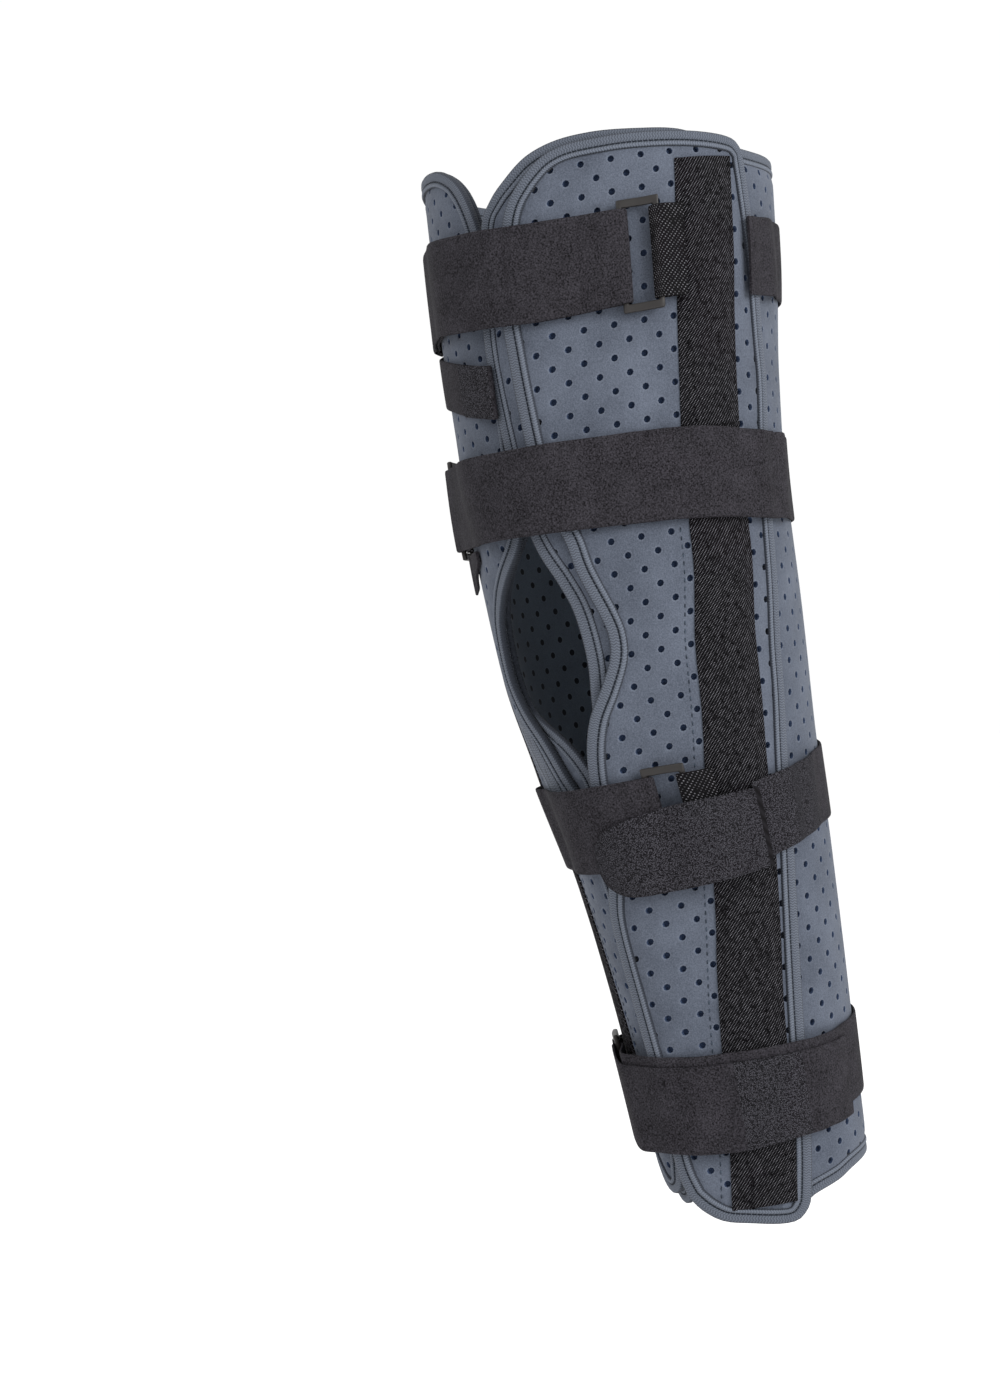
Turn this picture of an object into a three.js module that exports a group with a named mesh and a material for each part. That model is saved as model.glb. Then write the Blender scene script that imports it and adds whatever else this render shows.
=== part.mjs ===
import * as THREE from 'three';
import { mergeVertices } from 'three/addons/utils/BufferGeometryUtils.js';

// A knee immobilizer for the left leg, closed round the leg as it is worn.
// A perforated foam wrap goes all round, two outer foam panels lie on its sides, and four loop straps
// run through plastic rings. Millimetres, +Z up the leg, -Y the front, +X the outer side of the leg.
// The origin is on the leg's axis at the height of the kneecap.

// Lengths along the leg
const THIGH_LENGTH = 265;
const CALF_LENGTH = 307;

// The hollow for the leg
const THIGH_WIDTH = 176;
const THIGH_DEPTH = 176;
const ANKLE_WIDTH = 92;
const ANKLE_DEPTH = 104;
const KNEE_FORWARD = 14;
const KNEE_INWARD = 6;

// Foam layers and their edge tape
const FOAM = 4;
const FIT = 0.5;
const TAPE_WIDTH = 8;
const TAPE_PROUD = 0.4;
const TAPE_PRESSED = -0.3;
const SEAM = 0.95;
const LIFT_RUN = 32;
const CLIMB_RUN = 26;
const TAB_CLIMB_RUN = 28;
const STRAP_SLACK = 0.8;
const MITRE = 0.6;
const CROWDING = 0.45;
const CURVE_DIVISIONS = 800;
const WRAP_STEPS = { across: 36, upright: 24 };
const PANEL_STEPS = { across: 12, upright: 24 };

// Stay pockets
const POCKET_WIDTH = 34;
const POCKET_THICKNESS = 1.8;
const POCKET_STEPS = { across: 3, upright: 22 };

// Straps, rings and the webbing that holds the rings
const STRAP_WIDTH = 50;
const STRAP_THICKNESS = 1.6;
const RING_BAR = 2.6;
const RING_WIDTH = 20;
const RING_END = 4.2;
const RING_PLAY = 0.6;
const WEBBING_THICKNESS = 1.2;
const WEBBING_LENGTH = 14;
const SETTLE = 22;

// The hook tab climbs onto its ring this many degrees before it, and lies flat this many before its seam
const TAB_EARLY = 4;
const TAB_FLAT = 6;
const TAB_STEP = 4;

// Heights of the layers over the leg's surface
const PANEL_IN = FOAM + FIT;
const PANEL_OUT = PANEL_IN + FOAM;
const OVERLAP_LIFT = PANEL_OUT + TAPE_PROUD + FIT;
const WRAP_SEAT = FOAM + FIT;
const PANEL_SEAT = PANEL_OUT + TAPE_PROUD + FIT;
const POCKET_RISE = POCKET_THICKNESS + FIT;

// Materials
const FOAM_CLOTH = { color: 0x6d7b89, roughness: 0.9, metalness: 0 };
const EDGE_TAPE = { color: 0x66727f, roughness: 0.85, metalness: 0 };
const POCKET_CLOTH = { color: 0x1d1d20, roughness: 0.9, metalness: 0 };
const STRAP_CLOTH = { color: 0x252528, roughness: 0.95, metalness: 0 };
const RING_PLASTIC = { color: 0x4a4645, roughness: 0.5, metalness: 0 };
const WEBBING_CLOTH = { color: 0x2c2c2e, roughness: 0.9, metalness: 0 };

// Sections of the hollow. Level is a share of THIGH_LENGTH above the knee and of CALF_LENGTH below it.
// Width and depth go from 0 at the ankle's size to 1 at the thigh's, and the shifts are shares of
// KNEE_INWARD and KNEE_FORWARD.
const SECTIONS = [
  { level: -1.01, width: 0, depth: 0, inward: 0, forward: 0 },
  { level: -0.814, width: 0.083, depth: 0.069, inward: 0, forward: 0.03 },
  { level: -0.619, width: 0.19, depth: 0.167, inward: 0.08, forward: 0.09 },
  { level: -0.407, width: 0.333, depth: 0.306, inward: 0.25, forward: 0.29 },
  { level: -0.195, width: 0.524, depth: 0.5, inward: 0.67, forward: 0.71 },
  { level: 0, width: 0.714, depth: 0.667, inward: 1, forward: 0.96 },
  { level: 0.245, width: 0.786, depth: 0.75, inward: 1, forward: 1 },
  { level: 0.49, width: 0.857, depth: 0.833, inward: 0.75, forward: 0.75 },
  { level: 0.717, width: 0.952, depth: 0.944, inward: 0.33, forward: 0.39 },
  { level: 0.943, width: 1, depth: 1, inward: 0, forward: 0 },
];

// Edges of the foam pieces. Angle is in degrees round the leg from the front, positive to the outer side.
// The wrap's inner front edge is past 330, because the wrap goes all the way round.
const WRAP_EDGES = {
  front: [
    { level: -0.922, angle: 3 },
    { level: -0.886, angle: 0 },
    { level: -0.814, angle: -1 },
    { level: -0.603, angle: -3.5 },
    { level: -0.459, angle: -3.4 },
    { level: -0.375, angle: 1.5 },
    { level: -0.277, angle: 6.5 },
    { level: -0.179, angle: 10 },
    { level: -0.075, angle: 14.1 },
    { level: -0.01, angle: 16 },
    { level: 0.078, angle: 15 },
    { level: 0.139, angle: 11.8 },
    { level: 0.23, angle: 5.6 },
    { level: 0.396, angle: 0.5 },
    { level: 0.581, angle: -2.4 },
    { level: 0.7, angle: -1.5 },
    { level: 0.838, angle: 1.6 },
    { level: 0.883, angle: 6 },
    { level: 0.913, angle: 11.2 },
  ],
  top: [
    { level: 0.913, angle: 11.2 },
    { level: 0.947, angle: 18.3 },
    { level: 0.966, angle: 27.7 },
    { level: 0.97, angle: 39 },
    { level: 0.963, angle: 54 },
    { level: 0.954, angle: 68 },
    { level: 0.929, angle: 82 },
    { level: 0.915, angle: 104 },
    { level: 0.928, angle: 150 },
    { level: 0.962, angle: 200 },
    { level: 0.985, angle: 260 },
    { level: 1, angle: 305 },
    { level: 1.003, angle: 322 },
    { level: 0.99, angle: 336 },
    { level: 0.965, angle: 344.5 },
    { level: 0.933, angle: 350 },
  ],
  rear: [
    { level: -0.925, angle: 353.5 },
    { level: -0.886, angle: 356 },
    { level: -0.814, angle: 357.5 },
    { level: -0.65, angle: 358 },
    { level: -0.459, angle: 358 },
    { level: -0.326, angle: 359.5 },
    { level: -0.228, angle: 361 },
    { level: -0.183, angle: 358.3 },
    { level: -0.134, angle: 350.2 },
    { level: -0.074, angle: 333 },
    { level: -0.016, angle: 328 },
    { level: 0.072, angle: 330 },
    { level: 0.131, angle: 336 },
    { level: 0.17, angle: 343 },
    { level: 0.226, angle: 354.3 },
    { level: 0.272, angle: 361 },
    { level: 0.377, angle: 364 },
    { level: 0.566, angle: 364 },
    { level: 0.755, angle: 362 },
    { level: 0.838, angle: 357 },
    { level: 0.898, angle: 353.4 },
    { level: 0.933, angle: 350 },
  ],
  bottom: [
    { level: -0.922, angle: 3 },
    { level: -0.948, angle: 8 },
    { level: -0.97, angle: 17 },
    { level: -0.982, angle: 32 },
    { level: -0.986, angle: 48 },
    { level: -0.975, angle: 60 },
    { level: -0.964, angle: 68 },
    { level: -0.954, angle: 85 },
    { level: -0.941, angle: 108 },
    { level: -0.935, angle: 180 },
    { level: -0.896, angle: 240 },
    { level: -0.862, angle: 285 },
    { level: -0.872, angle: 304 },
    { level: -0.9, angle: 318 },
    { level: -0.937, angle: 327 },
    { level: -0.96, angle: 337 },
    { level: -0.955, angle: 346.5 },
    { level: -0.925, angle: 353.5 },
  ],
};

const LATERAL_EDGES = {
  front: [
    { level: -0.93, angle: 0.9 },
    { level: -0.886, angle: -2.4 },
    { level: -0.814, angle: -3.5 },
    { level: -0.603, angle: -6 },
    { level: -0.459, angle: -5.9 },
    { level: -0.375, angle: -0.6 },
    { level: -0.277, angle: 4 },
    { level: -0.179, angle: 7.7 },
    { level: -0.112, angle: 12.7 },
    { level: -0.059, angle: 19.7 },
    { level: -0.016, angle: 24.4 },
    { level: 0.019, angle: 25.5 },
    { level: 0.058, angle: 24.5 },
    { level: 0.151, angle: 19.7 },
    { level: 0.219, angle: 17.7 },
    { level: 0.302, angle: 13 },
    { level: 0.404, angle: 10.5 },
    { level: 0.574, angle: 8.5 },
    { level: 0.7, angle: 8 },
    { level: 0.842, angle: 11.8 },
    { level: 0.902, angle: 17.5 },
  ],
  top: [
    { level: 0.902, angle: 17.5 },
    { level: 0.935, angle: 23.5 },
    { level: 0.951, angle: 31 },
    { level: 0.953, angle: 42 },
    { level: 0.951, angle: 53 },
    { level: 0.942, angle: 73 },
    { level: 0.929, angle: 86 },
    { level: 0.906, angle: 90.5 },
  ],
  rear: [
    { level: -0.975, angle: 61 },
    { level: -0.94, angle: 63.4 },
    { level: -0.847, angle: 67.2 },
    { level: -0.629, angle: 72.6 },
    { level: -0.463, angle: 77.5 },
    { level: -0.163, angle: 87.5 },
    { level: -0.033, angle: 90 },
    { level: 0.117, angle: 93.5 },
    { level: 0.426, angle: 98.6 },
    { level: 0.562, angle: 97.5 },
    { level: 0.826, angle: 92.5 },
    { level: 0.906, angle: 90.5 },
  ],
  bottom: [
    { level: -0.93, angle: 0.9 },
    { level: -0.957, angle: 7 },
    { level: -0.98, angle: 16.5 },
    { level: -0.991, angle: 32 },
    { level: -0.998, angle: 47 },
    { level: -0.994, angle: 55 },
    { level: -0.975, angle: 61 },
  ],
};

const MEDIAL_EDGES = {
  front: [
    { level: -0.902, angle: 351.2 },
    { level: -0.87, angle: 353.4 },
    { level: -0.814, angle: 354.5 },
    { level: -0.603, angle: 355 },
    { level: -0.326, angle: 355 },
    { level: -0.241, angle: 353 },
    { level: -0.195, angle: 348.7 },
    { level: -0.13, angle: 342.7 },
    { level: -0.074, angle: 335 },
    { level: -0.016, angle: 331 },
    { level: 0.072, angle: 333 },
    { level: 0.131, angle: 339.9 },
    { level: 0.17, angle: 346.5 },
    { level: 0.223, angle: 356.3 },
    { level: 0.272, angle: 360 },
    { level: 0.377, angle: 361.5 },
    { level: 0.566, angle: 361.5 },
    { level: 0.755, angle: 360 },
    { level: 0.838, angle: 358 },
    { level: 0.894, angle: 355 },
    { level: 0.93, angle: 352 },
  ],
  top: [
    { level: 0.93, angle: 352 },
    { level: 0.964, angle: 347 },
    { level: 0.992, angle: 338 },
    { level: 1.003, angle: 324 },
    { level: 1, angle: 305 },
    { level: 0.985, angle: 284 },
    { level: 0.95, angle: 271 },
    { level: 0.915, angle: 267.5 },
  ],
  rear: [
    { level: -0.815, angle: 297 },
    { level: -0.78, angle: 294.4 },
    { level: -0.629, angle: 287.4 },
    { level: -0.463, angle: 282.5 },
    { level: -0.163, angle: 272.5 },
    { level: -0.033, angle: 270 },
    { level: 0.117, angle: 266.5 },
    { level: 0.426, angle: 261.4 },
    { level: 0.562, angle: 262.5 },
    { level: 0.826, angle: 266.5 },
    { level: 0.915, angle: 267.5 },
  ],
  bottom: [
    { level: -0.902, angle: 351.2 },
    { level: -0.927, angle: 348 },
    { level: -0.939, angle: 341.5 },
    { level: -0.938, angle: 335 },
    { level: -0.924, angle: 328 },
    { level: -0.899, angle: 320 },
    { level: -0.873, angle: 311 },
    { level: -0.846, angle: 302.5 },
    { level: -0.815, angle: 297 },
  ],
};

// Where the wrap's two ends still overlap at the front: the outer end rests up to this angle on the
// inner one, and comes down to the leg over the next LIFT_RUN degrees.
const OVERLAP_EDGE = [
  { level: -1, angle: -2 },
  { level: -0.45, angle: 0 },
  { level: -0.2, angle: 4 },
  { level: 0.2, angle: 5 },
  { level: 1, angle: 6 },
];

// The outermost front edge that the straps climb over.
const FRONT_RIDGE = [
  { level: -1, angle: -6 },
  { level: -0.45, angle: -7 },
  { level: -0.3, angle: 0 },
  { level: 0.25, angle: 2 },
  { level: 0.4, angle: -2 },
  { level: 1, angle: -3 },
];

// The stay pocket's centre line on the outer side. The one on the inner side mirrors it.
const POCKET_LINE = [
  { level: -0.967, angle: 37.2 },
  { level: -0.866, angle: 40.7 },
  { level: -0.612, angle: 47.5 },
  { level: -0.463, angle: 53.3 },
  { level: -0.212, angle: 61.6 },
  { level: -0.114, angle: 64.3 },
  { level: -0.016, angle: 65.7 },
  { level: 0.151, angle: 69.6 },
  { level: 0.434, angle: 71.3 },
  { level: 0.566, angle: 72 },
  { level: 0.902, angle: 74 },
];
const LATERAL_POCKET = { bottom: -0.962, top: 0.892 };
const MEDIAL_POCKET = { bottom: -0.755, top: 0.9 };

// Straps from top to bottom. Level is the middle of the strap and width is a share of STRAP_WIDTH.
const TOP_STRAP = [
  { angle: 88, level: 0.7, width: 0.79 },
  { angle: 180, level: 0.725, width: 0.85 },
  { angle: 270, level: 0.758, width: 0.96 },
  { angle: 326, level: 0.762, width: 0.98 },
  { angle: 360, level: 0.736, width: 0.98 },
  { angle: 382, level: 0.72, width: 0.98 },
  { angle: 407, level: 0.718, width: 0.92 },
];
const ABOVE_KNEE_STRAP = [
  { angle: -60, level: 0.34, width: 0.9 },
  { angle: -30, level: 0.334, width: 0.9 },
  { angle: 0, level: 0.324, width: 0.88 },
  { angle: 35, level: 0.312, width: 0.9 },
  { angle: 62, level: 0.302, width: 0.91 },
  { angle: 97, level: 0.281, width: 0.89 },
  { angle: 180, level: 0.283, width: 0.89 },
  { angle: 260, level: 0.31, width: 0.89 },
];
const BELOW_KNEE_STRAP = [
  { angle: -300, level: -0.322, width: 0.8 },
  { angle: -252, level: -0.288, width: 0.76 },
  { angle: -180, level: -0.272, width: 0.86 },
  { angle: -90, level: -0.284, width: 0.9 },
  { angle: -30, level: -0.289, width: 0.9 },
  { angle: 0, level: -0.292, width: 0.9 },
  { angle: 31, level: -0.29, width: 0.9 },
];
const BOTTOM_STRAP = [
  { angle: -60, level: -0.747, width: 0.94 },
  { angle: -5, level: -0.759, width: 0.92 },
  { angle: 29, level: -0.769, width: 0.93 },
  { angle: 60, level: -0.766, width: 0.87 },
  { angle: 89, level: -0.765, width: 0.84 },
  { angle: 180, level: -0.748, width: 0.86 },
  { angle: 260, level: -0.74, width: 0.9 },
];

// The hook tab sewn to the end of the strap below the knee, from its seam to its round end.
const HOOK_TAB = [
  { angle: 2, level: -0.354, width: 0.66 },
  { angle: 18, level: -0.346, width: 0.8 },
  { angle: 36, level: -0.337, width: 0.86 },
  { angle: 66, level: -0.331, width: 0.82 },
];

// The short tab that closes the front edges, and the tail that hangs below the strap above the knee.
const CLOSING_TAB = [
  { angle: -64, level: 0.62, width: 0.54 },
  { angle: -33, level: 0.577, width: 0.54 },
  { angle: 2, level: 0.52, width: 0.55 },
];
const TAIL = { left: -50, right: -30, top: 0.241, bottom: 0.16, narrowing: 0.7 };

// Where each strap starts, folds round its ring's bar and ends.
const TOP_RUN = { start: 88, fold: 405.6, end: 296 };
const ABOVE_KNEE_RUN = { start: 256, fold: -54, end: 96 };
const BELOW_KNEE_RUN = { start: 4, fold: 27.2, end: -296 };
const BOTTOM_RUN = { start: 256, fold: -38, end: 97 };
const CLOSING_RUN = { start: -57, fold: 0, end: -14 };
const BOTTOM_SHIFT = -5;

const radians = THREE.MathUtils.degToRad;
const degrees = THREE.MathUtils.radToDeg;
const mix = THREE.MathUtils.lerp;
const ease = (x) => THREE.MathUtils.smoothstep(x, 0, 1);

const group = new THREE.Group();

// Height in millimetres of a level, and back
function heightOf(level) {
  return level * (level > 0 ? THIGH_LENGTH : CALF_LENGTH);
}

function levelOf(z) {
  return z / (z > 0 ? THIGH_LENGTH : CALF_LENGTH);
}

// Smooth value of one column of a table at a place in another, without overshoot between its rows
function read(rows, from, to, at) {
  const last = rows.length - 1;
  if (at <= rows[0][from]) return rows[0][to];
  if (at >= rows[last][from]) return rows[last][to];
  let i = 0;
  while (rows[i + 1][from] < at) i += 1;
  const slope = (k) => (rows[k + 1][to] - rows[k][to]) / (rows[k + 1][from] - rows[k][from]);
  const tangent = (k) => {
    if (k === 0) return slope(0);
    if (k === last) return slope(last - 1);
    const before = slope(k - 1);
    const after = slope(k);
    return before * after <= 0 ? 0 : (2 * before * after) / (before + after);
  };
  const run = rows[i + 1][from] - rows[i][from];
  const t = (at - rows[i][from]) / run;
  const a = rows[i][to];
  const b = rows[i + 1][to];
  return a + (b - a) * t * t * (3 - 2 * t)
    + run * t * (1 - t) * ((1 - t) * tangent(i) - t * tangent(i + 1));
}

// The leg's surface: half width and half depth at a height, and where its middle lies
function sectionAt(z) {
  const level = levelOf(z);
  return {
    width: mix(ANKLE_WIDTH, THIGH_WIDTH, read(SECTIONS, 'level', 'width', level)) / 2,
    depth: mix(ANKLE_DEPTH, THIGH_DEPTH, read(SECTIONS, 'level', 'depth', level)) / 2,
    x: -KNEE_INWARD * read(SECTIONS, 'level', 'inward', level),
    y: -KNEE_FORWARD * read(SECTIONS, 'level', 'forward', level),
  };
}

function radiusAt(z) {
  const section = sectionAt(z);
  return (section.width + section.depth) / 2;
}

// A point at an angle round the leg, a height, and an offset out from the leg's surface
function onLeg(angle, z, offset) {
  const section = sectionAt(z);
  return new THREE.Vector3(
    section.x + (section.width + offset) * Math.sin(radians(angle)),
    section.y - (section.depth + offset) * Math.cos(radians(angle)),
    z,
  );
}

// How far the outer front end is lifted by the inner one that it overlaps
function overlapLift(angle, z) {
  const edge = read(OVERLAP_EDGE, 'level', 'angle', levelOf(z));
  return OVERLAP_LIFT * (1 - ease((angle - edge) / LIFT_RUN));
}

// The stack of layers that a strap lies on: the wrap behind, a panel and its pocket at each side,
// and the overlap in front
function strapSeat(angle, z) {
  const turn = THREE.MathUtils.euclideanModulo(angle + 180, 360) - 180;
  const level = levelOf(z);
  const ridge = read(FRONT_RIDGE, 'level', 'angle', level);
  const rear = read(LATERAL_EDGES.rear, 'level', 'angle', level);
  const pocket = read(POCKET_LINE, 'level', 'angle', level);
  const round = degrees(1 / radiusAt(z));
  const side = Math.abs(turn);
  const onPanel = 1 - ease((side - rear - TAPE_WIDTH * round) / (SETTLE * round));
  const pastPocket = Math.abs(side - pocket) / round - POCKET_WIDTH / 2 - TAPE_WIDTH;
  const onPocket = 1 - ease(pastPocket / TAPE_WIDTH);
  const climb = ease((turn - ridge + LIFT_RUN) / CLIMB_RUN);
  const lift = turn > ridge ? overlapLift(turn, z) : OVERLAP_LIFT * climb;
  const slack = (STRAP_SLACK * lift) / OVERLAP_LIFT;
  return mix(WRAP_SEAT, PANEL_SEAT, onPanel) + POCKET_RISE * onPocket + lift + slack;
}

// One closed body from a plain geometry whose points are moved by a rule
function bend(name, geometry, finish, rule) {
  geometry.deleteAttribute('uv');
  geometry.deleteAttribute('normal');
  const places = geometry.attributes.position;
  const point = new THREE.Vector3();
  for (let i = 0; i < places.count; i += 1) {
    point.fromBufferAttribute(places, i);
    const moved = rule(point, i);
    places.setXYZ(i, moved.x, moved.y, moved.z);
  }
  let body = mergeVertices(geometry, 1e-4);
  if (volumeOf(body) < 0) {
    const faces = body.index.array;
    for (let i = 0; i < faces.length; i += 3) [faces[i], faces[i + 1]] = [faces[i + 1], faces[i]];
  }
  body = dropFlatFaces(body);
  body.computeVertexNormals();
  const mesh = new THREE.Mesh(body, new THREE.MeshStandardMaterial(finish));
  mesh.name = name;
  group.add(mesh);
  return mesh;
}

function volumeOf(body) {
  const places = body.attributes.position;
  const corner = [new THREE.Vector3(), new THREE.Vector3(), new THREE.Vector3()];
  let total = 0;
  for (let i = 0; i < body.index.count; i += 3) {
    corner.forEach((point, k) => point.fromBufferAttribute(places, body.index.getX(i + k)));
    total += corner[0].dot(corner[1].cross(corner[2])) / 6;
  }
  return total;
}

// Faces that lost a side when their points were merged
function dropFlatFaces(body) {
  const kept = [];
  const faces = body.index.array;
  for (let i = 0; i < faces.length; i += 3) {
    const [a, b, c] = [faces[i], faces[i + 1], faces[i + 2]];
    if (a !== b && b !== c && c !== a) kept.push(a, b, c);
  }
  body.setIndex(kept);
  return body;
}

// Points along one edge of a foam piece, as angle and height. An upright edge has them closer
// together at its ends and beside the knee, by the share CROWDING.
function edgePoints(rows, count, crowding) {
  const scale = radians(1) * radiusAt(0);
  const places = rows.map((row) => new THREE.Vector2(row.angle * scale, heightOf(row.level)));
  const curve = new THREE.SplineCurve(places);
  curve.arcLengthDivisions = CURVE_DIVISIONS;
  return Array.from({ length: count + 1 }, (_, i) => {
    const share = i / count;
    const point = curve.getPointAt(share - (crowding * Math.sin(4 * Math.PI * share)) / (4 * Math.PI));
    return new THREE.Vector2(point.x / scale, point.y);
  });
}

// The closed outline of a foam piece, anticlockwise seen from outside, with its corners' places
function outlineOf(edges, across, upright) {
  const front = edgePoints(edges.front, upright, CROWDING);
  const rear = edgePoints(edges.rear, upright, CROWDING);
  const top = edgePoints(edges.top, across, 0);
  const bottom = edgePoints(edges.bottom, across, 0);
  return [
    ...bottom.slice(0, -1),
    ...rear.slice(0, -1),
    ...top.reverse().slice(0, -1),
    ...front.reverse().slice(0, -1),
  ];
}

// The same outline moved inwards over the foam by a distance
function inset(outline, distance) {
  const count = outline.length;
  const turn = Math.sign(outline[Math.floor(count / 4)].x - outline[0].x);
  return outline.map((point, i) => {
    const scale = radians(1) * radiusAt(point.y);
    const inward = (from, to) => (
      new THREE.Vector2(from.y - to.y, (to.x - from.x) * scale).normalize().multiplyScalar(turn)
    );
    const before = inward(outline[(i + count - 1) % count], point);
    const after = inward(point, outline[(i + 1) % count]);
    const middle = before.clone().add(after).normalize();
    const reach = distance / Math.max(middle.dot(before), MITRE);
    return new THREE.Vector2(point.x + (middle.x * reach) / scale, point.y + middle.y * reach);
  });
}

// A point inside an outline, from its share across and its share up
function insideOf(outline, across, upright, u, v) {
  const column = Math.round(u * across);
  const row = Math.round(v * upright);
  const count = outline.length;
  const bottom = outline[column];
  const rear = outline[across + row];
  const top = outline[2 * across + upright - column];
  const front = outline[(2 * (across + upright) - row) % count];
  const corners = [outline[0], outline[across], outline[across + upright], outline[2 * across + upright]];
  const blend = (key) => (1 - v) * bottom[key] + v * top[key] + (1 - u) * front[key] + u * rear[key]
    - (1 - u) * (1 - v) * corners[0][key] - u * (1 - v) * corners[1][key]
    - u * v * corners[2][key] - (1 - u) * v * corners[3][key];
  return new THREE.Vector2(blend('x'), blend('y'));
}

// A foam piece and the tape round its edge. The tape's body holds the rim of foam that it wraps.
function foamPiece(name, edges, steps, inner, proud, lift) {
  const { across, upright } = steps;
  const outline = outlineOf(edges, across, upright);
  const field = inset(outline, TAPE_WIDTH + SEAM);
  const slab = new THREE.BoxGeometry(1, 1, 1, across, upright, 1);
  bend(name, slab, FOAM_CLOTH, (point) => {
    const place = insideOf(field, across, upright, point.x + 0.5, point.y + 0.5);
    const offset = inner + FOAM * (point.z + 0.5) + lift(place.x, place.y);
    return onLeg(place.x, place.y, offset);
  });
  const inwards = inset(outline, TAPE_WIDTH);
  const profile = [[1, 0], [2, 0], [2, 1], [1, 1], [1, 0]].map(([x, y]) => new THREE.Vector2(x, y));
  const hoop = new THREE.LatheGeometry(profile, outline.length);
  bend(`${name}_edge_tape`, hoop, EDGE_TAPE, (point, i) => {
    const step = Math.floor(i / profile.length) % outline.length;
    const place = profile[i % profile.length].x > 1.5 ? inwards[step] : outline[step];
    const offset = inner + (FOAM + proud) * point.y + lift(place.x, place.y);
    return onLeg(place.x, place.y, offset);
  });
}

// A flat band bent along a path of angle and rise over its seat. Every step of the path gives the
// band's edges, and its thickness stands square to the path.
function ribbon(name, path, thickness, finish, seat) {
  const steps = path.length - 1;
  const strip = new THREE.BoxGeometry(1, 1, 1, steps, 1, 1);
  const flat = path.map((step) => {
    const middle = (step.top + step.bottom) / 2;
    const radius = radiusAt(middle) + seat(step.angle, middle);
    return { x: radians(step.angle) * radius, y: step.rise, radius };
  });
  bend(name, strip, finish, (point) => {
    const i = Math.round((point.x + 0.5) * steps);
    const before = flat[Math.max(i - 1, 0)];
    const after = flat[Math.min(i + 1, steps)];
    const length = Math.hypot(after.x - before.x, after.y - before.y);
    const half = point.z * thickness;
    const angle = degrees((flat[i].x - (half * (after.y - before.y)) / length) / flat[i].radius);
    const rise = flat[i].y + (half * (after.x - before.x)) / length;
    const z = point.y > 0 ? path[i].top : path[i].bottom;
    return onLeg(angle, z, seat(path[i].angle, z) + rise);
  });
}

// Angles from one place to another in even steps
function sweep(from, to, step) {
  const count = Math.max(1, Math.round(Math.abs(to - from) / step));
  return Array.from({ length: count + 1 }, (_, i) => mix(from, to, i / count));
}

function bandEdges(rows, angle, shift = 0) {
  const middle = heightOf(read(rows, 'angle', 'level', angle)) + shift;
  const half = (STRAP_WIDTH * read(rows, 'angle', 'width', angle)) / 2;
  return { top: middle + half, bottom: middle - half };
}

// Heights of a band's middle over its seat: next to the seat, over its ring's bar, and over itself
const UNDER = STRAP_THICKNESS / 2;
const BAR_BASE = STRAP_THICKNESS + FIT;
const OVER_BAR = BAR_BASE + RING_BAR + FIT + STRAP_THICKNESS / 2;
const OVER_STRAP = UNDER + STRAP_THICKNESS + FIT;
const FOLD_RADIUS = (OVER_BAR - UNDER) / 2;
const WEB_UNDER = BAR_BASE - FIT - WEBBING_THICKNESS / 2;
const WEB_OVER_BAR = BAR_BASE + RING_BAR + FIT + WEBBING_THICKNESS / 2;
const WEB_OVER = WEB_UNDER + WEBBING_THICKNESS + FIT;
const WEB_FOLD_RADIUS = (WEB_OVER_BAR - WEB_UNDER) / 2;
const TAB_OVER_STRAP = OVER_STRAP + STRAP_THICKNESS + FIT;
const TAB_OVER_BAR = OVER_BAR + STRAP_THICKNESS + FIT;

// A bar sits this far back from the middle of the fold round it, which leaves its corners free
const BAR_BACK = 0.5;
const ROUND_STEP = 9;
const FOLD_STEPS = 6;

// The half circle in which a band goes round a bar
function foldSteps(rows, angle, direction, low, radius) {
  const edges = bandEdges(rows, angle);
  const round = degrees(1 / (radiusAt(edges.top) + PANEL_SEAT));
  return Array.from({ length: FOLD_STEPS - 1 }, (_, i) => {
    const turn = (Math.PI * (i + 1)) / FOLD_STEPS;
    return {
      angle: angle + direction * radius * round * Math.sin(turn),
      rise: low + radius * (1 - Math.cos(turn)),
      ...edges,
    };
  });
}

// Distance round the leg between two angles at a band's own height
function distance(rows, from, to) {
  const edges = bandEdges(rows, from);
  return radians(Math.abs(to - from)) * (radiusAt((edges.top + edges.bottom) / 2) + PANEL_SEAT);
}

function flatRun(rows, from, to, rise) {
  return sweep(from, to, ROUND_STEP).map((angle) => ({ angle, rise, ...bandEdges(rows, angle) }));
}

// A strap that runs to its ring, folds round the bar and comes back over itself
function foldedStrap(name, rows, run, shift) {
  const direction = Math.sign(run.fold - run.start);
  const over = sweep(run.fold, run.end, ROUND_STEP).map((angle) => {
    const settled = ease((distance(rows, run.fold, angle) - RING_BAR) / SETTLE);
    const rise = mix(OVER_BAR, OVER_STRAP, settled);
    return { angle, rise, ...bandEdges(rows, angle, shift * settled) };
  });
  const path = [
    ...flatRun(rows, run.start, run.fold, UNDER),
    ...foldSteps(rows, run.fold, direction, UNDER, FOLD_RADIUS),
    ...over,
  ];
  ribbon(name, path, STRAP_THICKNESS, STRAP_CLOTH, strapSeat);
}

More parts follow.
